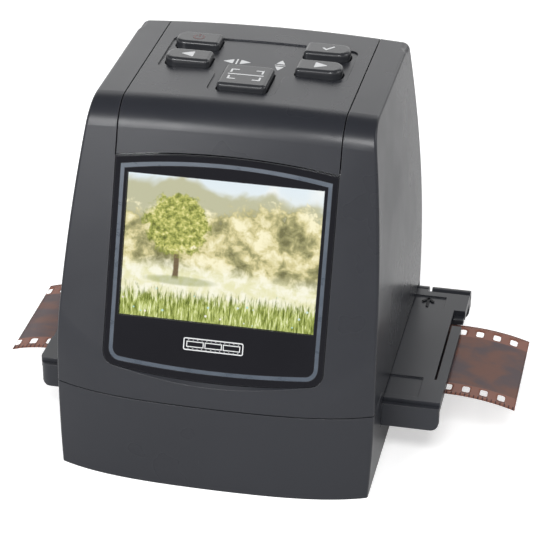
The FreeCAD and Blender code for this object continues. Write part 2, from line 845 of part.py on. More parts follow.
def rear_seat():
    """How far back the seats of the rear cover's screw heads lie."""
    return size("rear_belly") - size("cover_wall") / 2


def make_base_plate():
    """The bottom plate, inside the lower shell, with four countersunk holes and wells for the feet."""
    inside = body_form(size("wall") + size("fit_gap"))
    plate = inside.common(block((-FAR, FAR), (-FAR, FAR), (0.0, size("plate_thick"))))
    for x, y in boss_places():
        plate = plate.cut(disc(x, y, size("screw_radius") + size("fit_gap"), 0.0, SEAM))
        seat = size("screw_sink") + size("head_thick")
        plate = plate.cut(disc(x, y, size("screw_head") + size("fit_gap"), 0.0, seat))
    for x in (-size("foot_x"), size("foot_x")):
        for y in (-size("foot_y"), size("foot_y")):
            plate = plate.cut(disc(x, y, size("foot_radius") + size("fit_gap"), 0.0, size("foot_thick")))
    return shape_piece("base_plate", plate.removeSplitter())


# Display, in the window's plane

def tilted(body):
    """Places a body that was drawn flat into the window's leaning plane."""
    body.Placement = WINDOW_PLACE
    bind(body, "Placement.Base.y", "-window_back")
    bind(body, "Placement.Base.z", "window_height")
    bind(body, "Placement.Rotation.Angle", "90 - front_lean")
    return body


def make_display_frame():
    frame = prism(frame_outline(0.0, 0.0), size("frame_thick"))
    groove = prism(line_outline(0.0, 0.0), size("line_deep"))
    groove = groove.cut(prism(line_outline(size("line_width"), 0.0), size("line_deep")))
    wide, high = size("picture_width"), size("picture_height")
    opening = Part.makeBox(wide, high, OVER, V(-wide / 2, size("picture_rise") - high / 2, -OVER / 2))
    opening.Placement = WINDOW_PLACE
    shape_piece("display_frame", frame.cut(groove).cut(opening))
    return shape_piece("display_line", groove)


def window_plate(label, width, height, front, back):
    """A flat plate behind the window's plane, between two depths."""
    body = tilted(new_body(label))
    sketch = sketch_on(body, "XY_Plane", f"-({back})")
    add_rectangle(sketch, (f"-({width}) / 2", f"({width}) / 2"),
                  (f"picture_rise - ({height}) / 2", f"picture_rise + ({height}) / 2"))
    pad(body, sketch, f"({back}) - ({front})")
    return body


def make_display_parts():
    window_plate("window_pane", "picture_width - fit_gap", "picture_height - fit_gap", "0", "pane_thick")
    window_plate("lcd_panel", "panel_width", "panel_height", "frame_thick", "frame_thick + panel_thick")
    seat = "frame_thick + seat_thick"
    back = "frame_thick + panel_thick"
    bracket = window_plate("lcd_bracket", "bracket_width", "bracket_height", seat, back + " + bracket_thick")
    hollow = sketch_on(bracket, "XY_Plane", f"-({back})")
    add_rectangle(hollow, ("-panel_width / 2 - fit_gap", "panel_width / 2 + fit_gap"),
                  ("picture_rise - panel_height / 2 - fit_gap", "picture_rise + panel_height / 2 + fit_gap"))
    pocket(bracket, hollow, "panel_thick")
    slit = sketch_on(bracket, "XY_Plane", f"-({back} + bracket_thick)")
    add_rectangle(slit, ("-bracket_opening / 2", "bracket_opening / 2"),
                  ("picture_rise - bracket_opening / 4", "picture_rise + bracket_opening / 8"))
    pocket(bracket, slit, "bracket_thick")


# Keys: a cap with rounded edges over a flange that keeps it under the cover

def make_key(label, x, y, length, depth, left, right):
    body = new_body(label)
    bind(body, "Placement.Base.x", x)
    bind(body, "Placement.Base.y", y)
    cap = sketch_on(body, "XY_Plane", "key_flange_top")
    add_rectangle(cap, (f"-({length}) / 2", f"({length}) / 2"), (f"-({depth}) / 2", f"({depth}) / 2"))
    pad(body, cap, "key_top - key_flange_top")
    upright = size("key_top") - size("key_flange_top")

    def is_upright(edge, side):
        return abs(edge.BoundBox.ZLength - upright) < size("fit_gap") and edge.BoundBox.Center.x * side > 0

    round_edges(body, left, lambda edge: is_upright(edge, -1))
    round_edges(body, right, lambda edge: is_upright(edge, 1) and edge.BoundBox.XLength < size("fit_gap")
                and abs(edge.BoundBox.Center.x) > size(length) / 2 - size("fit_gap"))
    round_edges(body, "key_edge", lambda edge: edge.BoundBox.ZMin > size("key_top") - size("fit_gap"))
    flange = sketch_on(body, "XY_Plane", "key_flange_top - key_flange_thick")
    add_rectangle(flange, (f"-({length}) / 2 - key_flange", f"({length}) / 2 + key_flange"),
                  (f"-({depth}) / 2 - key_flange", f"({depth}) / 2 + key_flange"))
    pad(body, flange, "key_flange_thick")
    return body


def make_keys():
    for label, y in (("power_key", "key_row_back"), ("left_key", "key_row_front")):
        make_key(label, "-key_side", y, "key_length", "key_depth", "key_round", "key_inner_round")
    for label, y in (("ok_key", "key_row_back"), ("right_key", "key_row_front")):
        make_key(label, "key_side", y, "key_length", "key_depth", "key_inner_round", "key_round")
    make_key("scan_key", "0", "scan_centre", "scan_width", "scan_depth", "scan_round", "scan_round")


# Film holder: a base with a film channel, a lid on a long hinge, and the pin

FILM_LOW = "film_level - film_thick / 2 - film_play"
FILM_HIGH = "film_level + film_thick / 2 + film_play"
CHANNEL = ("film_centre - film_width / 2 - cover_gap", "film_centre + film_width / 2 + cover_gap")
FILM_GATE = (("-frame_long / 2", "frame_long / 2"),
             ("film_centre - frame_wide / 2", "film_centre + frame_wide / 2"))
ALL_HEIGHT = ("0", "body_height")
HINGE_FRONT = "hinge_back - hinge_radius - pin_gap - fit_gap"
HINGE_DEPTH = ("hinge_back - hinge_radius", "hinge_back + hinge_radius")


def plan_form(label):
    """The holder's outline from above, whose front corners are rounded."""
    whole = box(label + "_block", ("-holder_left", "holder_right"), ("-holder_front", "holder_rear"),
                ALL_HEIGHT)

    def is_front(room, side):
        upright = room.ZLength > size("holder_top") and room.Center.y < 0
        return upright and room.Center.x * side > 0

    return edges_rounded(label, whole, [(lambda room: is_front(room, -1), "holder_corner"),
                                        (lambda room: is_front(room, 1), "edge_radius")])


def end_form():
    """The holder's outline from the front, whose lower corners are rounded."""
    whole = box("holder_ends_block", ("-holder_left", "holder_right"), ("-holder_front", "holder_rear"),
                ("holder_low", "body_height"))
    return edges_rounded("holder_ends", whole, [
        (lambda room: room.YLength > size("holder_front") and room.ZMax < size("holder_top"), "end_round")])


def make_holder_base():
    length = ("-holder_left", "holder_right")
    short = ("-holder_left + end_setback", "holder_right - end_setback")
    bed = box("bed", short, ("-holder_front", HINGE_FRONT), ("holder_low", f"{FILM_HIGH} - pin_gap"))
    rail = box("hinge_rail", short, ("hinge_back - hinge_radius * 2", "holder_rear"),
               ("holder_low", "hinge_level - hinge_radius - fit_gap"))
    wall = box("front_wall", length, ("-holder_front", "-lid_front - fit_gap"),
               ("holder_low", "hinge_level + pin_radius"))
    solids = [bed, rail, wall]
    for name, across in (("right", ("holder_right - end_cut + fit_gap", "holder_right - fit_gap")),
                         ("left", ("-holder_left + fit_gap", "-holder_left + end_cut - fit_gap"))):
        solids.append(box(f"{name}_catch", across, (CHANNEL[1], "end_cut_back - fit_gap"),
                          ("film_level", "catch_level")))
    for name, start, end in (("right", "holder_right - knuckle_long", "holder_right"),
                             ("left", "-holder_left", "-holder_left + knuckle_long")):
        solids.append(cylinder(f"{name}_knuckle", start, "hinge_back", "hinge_level", "hinge_radius",
                               "knuckle_long", V(1, 0, 0)))
        solids.append(box(f"{name}_knuckle_foot", (start, end), HINGE_DEPTH, ("holder_low", "hinge_level")))
    base = common("holder_base_trimmed", joined("holder_base_solid", solids), end_form())
    base = common("holder_base_rounded", base, plan_form("base_plan"))
    bore = cylinder("base_pin_bore", "-holder_left - cut_over", "hinge_back", "hinge_level", "pin_radius",
                    "holder_left + holder_right + 2 * cut_over", V(1, 0, 0))
    channel = box("film_channel", ("-holder_left - cut_over", "holder_right + cut_over"), CHANNEL,
                  (FILM_LOW, "hinge_level + pin_radius + cut_over"))
    gate = box("base_gate", *FILM_GATE, ALL_HEIGHT)
    return cut("holder_base", base, [bore, channel, gate])


def make_holder_lid():
    leaf = box("lid_leaf", ("-holder_left", "holder_right"), ("-lid_front", "hinge_back - hinge_radius / 2"),
               (FILM_HIGH, "holder_top"))
    start, end = "-holder_left + knuckle_long + knuckle_gap", "holder_right - knuckle_long - knuckle_gap"
    barrel = cylinder("lid_barrel", start, "hinge_back", "hinge_level", "hinge_radius", f"{end} - ({start})",
                      V(1, 0, 0))
    lid = common("holder_lid_rounded", joined("holder_lid_solid", [leaf, barrel]), plan_form("lid_plan"))
    past_right, past_left = "holder_right + cut_over", "-holder_left - cut_over"
    bore = cylinder("lid_pin_bore", past_left, "hinge_back", "hinge_level", "pin_radius + pin_gap",
                    "holder_left + holder_right + 2 * cut_over", V(1, 0, 0))
    tools = [box("lid_gate", *FILM_GATE, ALL_HEIGHT), bore]
    right_notch = ("holder_right - knuckle_long - notch_wide", past_right)
    left_notch = (past_left, "-holder_left + knuckle_long + notch_wide")
    ends = (("right", right_notch, ("holder_right - end_cut", past_right),
             ("holder_right - end_cut", "holder_right - end_cut + latch_slit")),
            ("left", left_notch, (past_left, "-holder_left + end_cut"),
             ("-holder_left + end_cut - latch_slit", "-holder_left + end_cut")))
    for name, notch, end_cut, slit in ends:
        tools.append(box(f"{name}_notch", notch, (HINGE_FRONT, "holder_rear + cut_over"), ALL_HEIGHT))
        tools.append(box(f"{name}_slit", slit, ("-end_cut_front", "latch_back"), ALL_HEIGHT))
        tools.append(box(f"{name}_step", end_cut, ("-end_cut_front", "latch_back"),
                         ("latch_level", "body_height")))
        tools.append(box(f"{name}_end_cut", end_cut, ("latch_back", "end_cut_back"), ALL_HEIGHT))
    for name, front, back in (("arrow", "rear_mark_front", "rear_mark_back"),
                              ("grip", "-front_mark_front", "-front_mark_back")):
        tools.append(box(f"{name}_mark", ("mark_right - mark_long", "mark_right"), (front, back),
                         ("holder_top - mark_deep", "body_height")))
    return cut("holder_lid", lid, tools)


def make_hinge_pin():
    return cylinder("hinge_pin", "-holder_left + fit_gap", "hinge_back", "hinge_level",
                    "pin_radius - pin_gap / 2", "holder_left + holder_right - 2 * fit_gap", V(1, 0, 0))


def make_film_strip():
    """A strip of perforated film, flat in the holder and curling down at both ends."""
    level, half = size("film_level"), size("film_thick") / 2
    flat_right, flat_left = size("holder_right") + size("fit_gap"), size("holder_left") + size("fit_gap")

    def curl(side, start, end, radius):
        """The strip's arc past the holder, as three points on its upper and lower faces."""
        turn = math.asin((end - start) / radius)
        rows = []
        for offset in (half, -half):
            ring, centre = radius + offset, level - radius
            rows.append([V(side * (start + ring * math.sin(angle)), 0, centre + ring * math.cos(angle))
                         for angle in (0, turn / 2, turn)])
        return rows

    right_up, right_low = curl(1, flat_right, size("film_right"), size("film_curl_right"))
    left_up, left_low = curl(-1, flat_left, size("film_left"), size("film_curl_left"))
    edges = [Part.LineSegment(left_up[0], right_up[0]).toShape(), Part.Arc(*right_up).toShape(),
             Part.LineSegment(right_up[2], right_low[2]).toShape(), Part.Arc(*reversed(right_low)).toShape(),
             Part.LineSegment(right_low[0], left_low[0]).toShape(), Part.Arc(*left_low).toShape(),
             Part.LineSegment(left_low[2], left_up[2]).toShape(), Part.Arc(*reversed(left_up)).toShape()]
    front = size("film_centre") - size("film_width") / 2
    face = Part.Face(Part.Wire(edges))
    face.translate(V(0, front, 0))
    strip = face.extrude(V(0, size("film_width"), 0))
    wide = size("hole_wide")
    last = size("film_right") - size("hole_margin") - size("hole_long") / 2
    count = int((size("film_left") + last + size("hole_long")) / size("hole_pitch")) + 1
    holes = []
    for i in range(count):
        x = last - i * size("hole_pitch")
        for y in (front + size("hole_inset"), front + size("film_width") - size("hole_inset") - wide):
            holes.append(block((x, x + size("hole_long")), (y, y + wide), (0, SEAM)))
    return shape_piece("film_strip", strip.cut(Part.makeCompound(holes)))


# Bottom: feet and screws

def make_feet():
    feet = []
    for x in ("-foot_x", "foot_x"):
        for y in ("-foot_y", "foot_y"):
            feet.append(cylinder("foot", x, y, "0", "foot_radius", "foot_thick"))
    return joined("rubber_feet", feet)


def screw(place, way, head, shank_radius, length):
    """A pan-head screw whose head's outer face is at a place and whose shank runs along a way."""
    top = Part.makeCylinder(head, size("head_thick"), place, way)
    shank = Part.makeCylinder(shank_radius, length, place, way)
    slot = Part.makeBox(head * 2, head / 4, size("head_thick") / 2, V(-head, -head / 8, 0))
    turned = FreeCAD.Rotation(V(0, 0, 1), way)
    slot.Placement = FreeCAD.Placement(place, turned)
    return top.fuse(shank).cut(slot)


def make_base_screws():
    low, length = size("screw_sink"), size(GUIDE_LOW) - size("head_thick") * 4
    radius = size("screw_radius") - size("pin_gap")
    screws = [screw(V(x, y, low), V(0, 0, 1), size("screw_head"), radius, length) for x, y in boss_places()]
    return shape_piece("base_screws", Part.makeCompound(screws))


def make_rear_screws():
    outer = rear_seat() + size("head_thick")
    length = size("boss_radius") + size("flange_back")
    radius = size("screw_radius") - size("fit_gap") - size("pin_gap")
    places = [V(side * size("rear_screw_x"), outer, size("belly_height")) for side in (-1, 1)]
    screws = [screw(place, V(0, -1, 0), size("screw_head"), radius, length) for place in places]
    return shape_piece("rear_screws", Part.makeCompound(screws))


# Light under the film, and the plates that guide the holder

def flat_plate(label, across, along, low, thick):
    """A PartDesign plate: one rectangle, padded upwards from a height."""
    body = new_body(label)
    sketch = sketch_on(body, "XY_Plane", low)
    add_rectangle(sketch, across, along)
    pad(body, sketch, thick)
    return body


def centred(width):
    return (f"-({width}) / 2", f"({width}) / 2")


def about_film(depth):
    return (f"film_centre - ({depth}) / 2", f"film_centre + ({depth}) / 2")


def make_light():
    tray = flat_plate("light_box", centred("light_width"), about_film("light_depth"), PLATE_TOP,
                      f"{GUIDE_LOW} - ({PLATE_TOP})")
    seat = sketch_on(tray, "XY_Plane", f"{GUIDE_LOW} - diffuser_thick")
    add_rectangle(seat, centred("light_width - 2 * light_wall"), about_film("light_depth - 2 * light_wall"))
    pocket(tray, seat, "diffuser_thick")
    hollow = sketch_on(tray, "XY_Plane", f"{PLATE_TOP} + light_wall")
    add_rectangle(hollow, centred("light_width - 2 * light_wall - 2 * light_ledge"),
                  about_film("light_depth - 2 * light_wall - 2 * light_ledge"))
    pocket(tray, hollow, f"{GUIDE_LOW} - ({PLATE_TOP})")
    flat_plate("light_diffuser", centred("light_width - 2 * light_wall - 2 * fit_gap"),
               about_film("light_depth - 2 * light_wall - 2 * fit_gap"),
               f"{GUIDE_LOW} - diffuser_thick", "diffuser_thick")
    board = f"{PLATE_TOP} + light_wall"
    flat_plate("led_board", centred("light_width - 3 * light_wall - 2 * light_ledge"),
               about_film("light_depth - 3 * light_wall - 2 * light_ledge"), board, "led_board_thick")
    leds = []
    for x in ("-light_width / 4", "light_width / 4"):
        for y in ("film_centre - light_depth / 4", "film_centre + light_depth / 4"):
            leds.append(box("led", (f"{x} - led_size / 2", f"{x} + led_size / 2"),
                            (f"{y} - led_size / 2", f"{y} + led_size / 2"),
                            (f"{board} + led_board_thick", f"{board} + led_board_thick + led_high")))
    joined("leds", leds)


def make_guides():
    aperture = (centred("aperture_width"), about_film("aperture_depth"))
    low = flat_plate("guide_lower", centred("2 * guide_half"),
                     ("-guide_front + guide_leg + slot_gap", "guide_back"), GUIDE_LOW, "guide_thick")
    hole = sketch_on(low, "XY_Plane", GUIDE_LOW)
    add_rectangle(hole, *aperture)
    pocket(low, hole, "guide_thick")
    plate = box("guide_plate", centred("2 * guide_half"), ("-guide_front", "guide_back"),
                (GUIDE_HIGH, f"{GUIDE_HIGH} + guide_thick"))
    depth = ("-guide_front", "-guide_front + guide_leg")
    legs = [box("guide_leg", (start, f"{start} + guide_leg"), depth, (PLATE_TOP, GUIDE_HIGH))
            for start in ("-tower_width / 2", "tower_width / 2 - guide_leg")]
    whole = joined("guide_upper_solid", [plate] + legs)
    return cut("guide_upper", whole, [box("guide_aperture", *aperture, ALL_HEIGHT)])


# Optics above the film

TOWER_LOW = f"{GUIDE_HIGH} + guide_thick"


def round_hole(body, low, radius, depth):
    """A round hole through a plate of the optics, on the lens's axis."""
    sketch = sketch_on(body, "XY_Plane", low)
    add_circle(sketch, "0", "film_centre", radius)
    pocket(body, sketch, depth)


def make_optics():
    tower = new_body("lens_tower")
    outside = sketch_on(tower, "XY_Plane", TOWER_LOW)
    add_rectangle(outside, centred("tower_width"), about_film("tower_depth"))
    pad(tower, outside, f"tower_top - ({TOWER_LOW})", "-tower_taper")
    inside = sketch_on(tower, "XY_Plane", TOWER_LOW)
    add_rectangle(inside, centred("tower_width - 2 * tower_wall"),
                  about_film("tower_depth - 2 * tower_wall"))
    pocket(tower, inside, f"tower_top - ({TOWER_LOW}) - tower_wall", "-tower_taper")
    round_hole(tower, "tower_top - 2 * tower_wall", "barrel_radius + pin_gap", "3 * tower_wall")
    mount = flat_plate("lens_mount", centred("mount_size"), about_film("mount_size"), "tower_top",
                       "mount_high")
    round_hole(mount, "tower_top", "barrel_radius + pin_gap", "mount_high")
    barrel_low = "tower_top + mount_high - barrel_long - chip_high - cover_gap"
    barrel = new_body("lens_barrel")
    tube = sketch_on(barrel, "XY_Plane", barrel_low)
    add_circle(tube, "0", "film_centre", "barrel_radius")
    pad(barrel, tube, "barrel_long")
    collar = sketch_on(barrel, "XY_Plane", barrel_low)
    add_circle(collar, "0", "film_centre", "barrel_flange")
    pad(barrel, collar, "tower_wall")
    round_hole(barrel, barrel_low, "glass_radius + pin_gap", "barrel_long")
    lenses = [cylinder("lens", "0", "film_centre", f"{barrel_low} + {share}", "glass_radius", "tower_wall")
              for share in ("pane_thick", "barrel_long - 3 * tower_wall")]
    joined("lens_glass", lenses)


# Circuit boards, their parts and the sockets

BOARD_TOP = "main_board_level + board_thick"


def make_boards():
    sensor = "tower_top + mount_high"
    flat_plate("sensor_board", centred("sensor_board_width"), about_film("sensor_board_depth"), sensor,
               "board_thick")
    flat_plate("image_sensor", centred("chip_size"), about_film("chip_size"), f"{sensor} - chip_high",
               "chip_high")
    spacers = [cylinder("spacer", x, f"film_centre {y}", f"{sensor} + board_thick", "spacer_radius",
                        f"main_board_level - board_thick - ({sensor})")
               for x in ("-spacer_x", "spacer_x") for y in ("- spacer_y", "+ spacer_y")]
    joined("board_spacers", spacers)
    flat_plate("main_board", centred("2 * main_board_half"), ("-main_board_front", "main_board_back"),
               "main_board_level", "board_thick")
    rear = "socket_reach - card_long - chip_gap"
    level = (BOARD_TOP, f"{BOARD_TOP} + chip_high")
    chips = [box("main_chip", ("-chip_size * 2", "-chip_size / 2"), (f"{rear} - chip_size * 3 / 2", rear),
                 level),
             box("memory_chip", ("chip_size", "chip_size * 2"), (f"{rear} - chip_size * 3 / 2", rear),
                 level),
             box("power_chip", ("-main_board_half + chip_size / 2", "-main_board_half + chip_size"),
                 (f"{rear} - chip_size / 2", rear), level)]
    joined("board_chips", chips)
    keys = flat_plate("key_board", centred("2 * key_board_half"), ("-key_board_front", "key_board_back"),
                      "key_board_level", "board_thick")
    holes = sketch_on(keys, "XY_Plane", "key_board_level")
    for x in POSTS_ACROSS:
        for y in POSTS_ALONG:
            add_circle(holes, x, y, "screw_radius / 2 + pin_gap")
    pocket(keys, holes, "board_thick")
    make_switches()
    make_flex()


def make_switches():
    """One push switch under each key, whose plunger stands one stroke below the key."""
    low = "key_board_level + board_thick"
    rest = "key_flange_top - key_flange_thick - key_travel - pin_gap"
    pieces = []
    places = [(x, y) for x in ("-key_side", "key_side") for y in ("key_row_back", "key_row_front")]
    for x, y in places + [("0", "scan_centre")]:
        case = box("switch_case", (f"{x} - switch_size / 2", f"{x} + switch_size / 2"),
                   (f"{y} - switch_size / 2", f"{y} + switch_size / 2"), (low, f"{low} + switch_high"))
        plunger = cylinder("switch_plunger", x, y, low, "plunger_radius", f"{rest} - ({low})")
        pieces.append(joined("switch", [case, plunger]))
    joined("key_switches", pieces)


def make_key_board_screws():
    low = size("key_board_level")
    head, radius = size("post_radius") - size("fit_gap"), size("screw_radius") / 2 - size("pin_gap")
    length = size("head_thick") + size("board_thick") * 2
    places = [V(x, y, low - size("head_thick")) for x, y in post_places()]
    screws = [screw(place, V(0, 0, 1), head, radius, length) for place in places]
    return shape_piece("key_board_screws", Part.makeCompound(screws))


# How far the flat cable keeps from the board's edge, as a share of the way from the bracket to the board.
FLEX_REACH_SHARE = 0.236456


def make_flex():
    """The display's flat cable: up from behind the bracket and forward onto the main board."""
    back = size("frame_thick") + size("panel_thick") + size("bracket_thick")
    start = WINDOW_PLACE.multVec(V(0, 0, -back - size("flex_thick")))
    bend = WINDOW_PLACE.multVec(V(0, size("bracket_height") / 3, -back - size("flex_thick") * 2))
    top = size("main_board_level") + size("board_thick")
    front = -size("main_board_front")
    bracket = math.tan(LEAN) * (top - size("window_height")) + back / math.cos(LEAN) - size("window_back")
    reach = (front - bracket) * FLEX_REACH_SHARE
    points = [start, bend, V(0, front - reach, top + reach), V(0, front, top), V(0, front + reach, top)]
    upper = [point + V(0, 0, size("flex_thick")) for point in points]
    wire = Part.makePolygon(points + list(reversed(upper)) + [points[0]])
    wire.translate(V(-size("flex_width") / 2, 0, 0))
    return shape_piece("lcd_flex", Part.Face(wire).extrude(V(size("flex_width"), 0, 0)))


def socket(label, x, width, height, length, lip):
    """A hollow metal socket on the main board that opens at the rear."""
    shell = box(f"{label}_shell", (f"{x} - {width} / 2", f"{x} + {width} / 2"),
                (f"socket_reach - {length}", "socket_reach"), (BOARD_TOP, f"{BOARD_TOP} + {height}"))
    hollow = box(f"{label}_hollow", (f"{x} - {width} / 2 + {lip}", f"{x} + {width} / 2 - {lip}"),
                 (f"socket_reach - {length} + 2 * {lip}", "socket_reach + cut_over"),
                 (f"{BOARD_TOP} + {lip}", f"{BOARD_TOP} + {height} - {lip}"))
    return cut(label, shell, [hollow])


def make_sockets():
    socket("usb_socket", "usb_x", "usb_width", "usb_high", "usb_long", "flex_thick")
    socket("card_socket", "card_x", "card_width", "card_high", "card_long", "flex_thick")
    case = box("jack_case", ("jack_x - jack_width / 2", "jack_x + jack_width / 2"),
               ("socket_reach - jack_long", "socket_reach"), (BOARD_TOP, f"{BOARD_TOP} + jack_high"))
    bore = cylinder("jack_hole", "jack_x", "socket_reach - jack_long + tower_wall",
                    f"{BOARD_TOP} + jack_high / 2", "jack_bore", "jack_long", V(0, 1, 0))
    cut("tv_out_jack", case, [bore])


# Build every node, check it and write it

NODES = [
    "base_housing", "upper_shell", "top_cover", "rear_cover", "base_plate",
    "rubber_feet", "base_screws", "rear_screws",
    "display_frame", "display_line", "window_pane", "lcd_panel", "lcd_bracket", "lcd_flex",
    "power_key", "ok_key", "left_key", "right_key", "scan_key",
    "key_board", "key_switches", "key_board_screws",
    "light_box", "light_diffuser", "led_board", "leds", "guide_lower", "guide_upper",
    "lens_tower", "lens_mount", "lens_barrel", "lens_glass",
    "sensor_board", "image_sensor", "board_spacers", "main_board", "board_chips",
    "usb_socket", "card_socket", "tv_out_jack",
    "holder_base", "holder_lid", "hinge_pin", "film_strip",
]


def build():
    make_base_housing()
    make_upper_shell()
    make_top_cover()
    make_rear_cover()
    make_base_plate()
    make_display_frame()
    make_display_parts()
    make_keys()
    make_holder_base()
    make_holder_lid()
    make_hinge_pin()
    make_film_strip()
    make_feet()
    make_base_screws()
    make_rear_screws()
    make_light()
    make_guides()
    make_optics()
    make_boards()
    make_key_board_screws()
    make_sockets()
    DOC.recompute()


def check_and_write():
    """Stops on any failed object or bad shape, then writes one file for each node."""
    for thing in DOC.Objects:
        if "Invalid" in thing.State or "Error" in thing.State:
            raise RuntimeError(f"{thing.Label} failed: {thing.State}")
    pieces = [DOC.getObjectsByLabel(name)[0] for name in NODES]
    for piece in pieces:
        if piece.Shape.isNull() or not piece.Shape.isValid() or not piece.Shape.Solids:
            raise RuntimeError(f"{piece.Label} has no valid solid")
    os.makedirs("parts", exist_ok=True)
    for piece in pieces:
        piece.Shape.exportStep(os.path.join("parts", piece.Label + ".step"))
        print(piece.Label, len(piece.Shape.Solids), "solids", round(piece.Shape.Volume, 2), "mm3")


build()
check_and_write()
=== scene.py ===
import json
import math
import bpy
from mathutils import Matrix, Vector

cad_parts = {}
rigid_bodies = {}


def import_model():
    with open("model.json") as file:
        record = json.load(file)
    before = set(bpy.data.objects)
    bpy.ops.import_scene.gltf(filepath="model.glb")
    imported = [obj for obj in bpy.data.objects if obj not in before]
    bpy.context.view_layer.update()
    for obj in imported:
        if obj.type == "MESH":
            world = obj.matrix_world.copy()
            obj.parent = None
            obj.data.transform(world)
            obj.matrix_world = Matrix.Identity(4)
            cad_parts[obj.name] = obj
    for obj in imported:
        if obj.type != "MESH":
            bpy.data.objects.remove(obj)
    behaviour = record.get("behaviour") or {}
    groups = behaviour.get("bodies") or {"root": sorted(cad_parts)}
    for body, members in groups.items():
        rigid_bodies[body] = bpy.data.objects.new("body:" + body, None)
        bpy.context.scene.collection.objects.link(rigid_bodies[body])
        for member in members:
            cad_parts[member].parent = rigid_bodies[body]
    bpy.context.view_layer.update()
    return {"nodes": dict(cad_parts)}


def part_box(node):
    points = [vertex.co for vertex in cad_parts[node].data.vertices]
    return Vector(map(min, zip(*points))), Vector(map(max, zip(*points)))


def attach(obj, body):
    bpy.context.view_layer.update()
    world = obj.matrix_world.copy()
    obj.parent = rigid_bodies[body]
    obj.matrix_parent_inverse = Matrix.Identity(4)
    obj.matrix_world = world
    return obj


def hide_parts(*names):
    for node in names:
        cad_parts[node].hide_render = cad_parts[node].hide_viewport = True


bl_info = {
    "name": "Film negative scanner",
    "version": (1, 0, 0),
    "blender": (4, 5, 0),
    "location": "3D View > Sidebar > Film scanner",
    "description": "Finishes, film, display picture, printed marks and studio "
                   "for a desk-top film negative scanner",
    "category": "Object",
}

import bmesh
import bpy
import numpy as np
from bpy.props import FloatProperty, FloatVectorProperty, PointerProperty
from mathutils import Matrix, Vector

for leftover in list(bpy.data.objects):
    bpy.data.objects.remove(leftover)
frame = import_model()

MM = 0.001


# Places read from the frame

LEAN_ROUNDS = 12  # far more than the display's lean needs to settle


def low(node):
    """The lowest corner of a CAD node's box."""
    return np.array(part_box(node)[0])


def high(node):
    """The highest corner of a CAD node's box."""
    return np.array(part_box(node)[1])


def middle(node):
    """The middle of a CAD node's box."""
    return (low(node) + high(node)) / 2


def window_plane():
    """The display's own axes, from the box of the pane: across, up the slope and outwards.

    The pane is a thin plate leaning back, so its height and depth give the lean: with a slope length l
    and a thickness t the box is l cos a + t sin a high and l sin a + t cos a deep.
    """
    span = high("window_pane") - low("window_pane")
    tall, deep, thick = span[2], span[1], scanner().display.pane_thick
    lean = math.atan2(deep, tall)
    for _ in range(LEAN_ROUNDS):
        slope = (tall - thick * math.sin(lean)) / math.cos(lean)
        lean = math.asin((deep - thick * math.cos(lean)) / slope)
    across = np.array((1.0, 0.0, 0.0))
    up = np.array((0.0, math.sin(lean), math.cos(lean)))
    out = np.array((0.0, -math.cos(lean), math.sin(lean)))
    return middle("window_pane") + out * thick / 2, across, up, out, slope


def on_window(x, y, depth):
    """Points of the display's plane: its middle + x across + y up - depth out, as three columns."""
    front, across, up, out, _ = window_plane()
    return front + x[:, None] * across + y[:, None] * up - depth * out


# Sizes and colours that a user would change

def colour(name, description, value):
    """A colour that is picked."""
    return FloatVectorProperty(name=name, description=description, default=value, size=3, min=0.0, max=1.0,
                               subtype="COLOR")


def length(name, description, value):
    """A length in metres."""
    return FloatProperty(name=name, description=description, default=value, min=0.0, unit="LENGTH",
                         subtype="DISTANCE", precision=5)


def share(name, description, value):
    """A number from 0 to 1."""
    return FloatProperty(name=name, description=description, default=value, min=0.0, max=1.0,
                         subtype="FACTOR")


def strength(name, description, value):
    """A number with no upper limit."""
    return FloatProperty(name=name, description=description, default=value, min=0.0)


def vector(name, description, value, **kind):
    """A place or a direction."""
    return FloatVectorProperty(name=name, description=description, default=value, size=3, precision=5, **kind)


class CasingFinish(bpy.types.PropertyGroup):
    shell: colour("Shell", "Charcoal of the shells and covers", (0.0185, 0.0198, 0.0245))
    keys: colour("Keys", "Black of the key caps", (0.022, 0.023, 0.026))
    holder: colour("Holder", "Dark grey of the film holder", (0.0215, 0.0230, 0.0280))
    gloss: share("Roughness", "Roughness of the satin plastic", 0.30)
    grain: length("Grain", "Size of the moulded grain", 0.35 * MM)
    relief: length("Relief", "Depth of the moulded grain", 0.004 * MM)
    edge: length("Edge softness", "Radius that the light sees at every edge", 0.22 * MM)


class DisplayFinish(bpy.types.PropertyGroup):
    frame_black: colour("Frame", "Gloss black of the display frame", (0.008, 0.008, 0.010))
    line: colour("Line", "Blue-grey of the inlaid line", (0.042, 0.056, 0.077))
    print_white: colour("Print", "White of the printed marks", (0.62, 0.63, 0.64))
    print_red: colour("Dim print", "Dull red of the mark on the power key", (0.105, 0.045, 0.045))
    pane_thick: length("Pane thickness", "Thickness of the clear pane", 0.8 * MM)
    glow: strength("Glow", "Strength of the lit picture", 1.0)


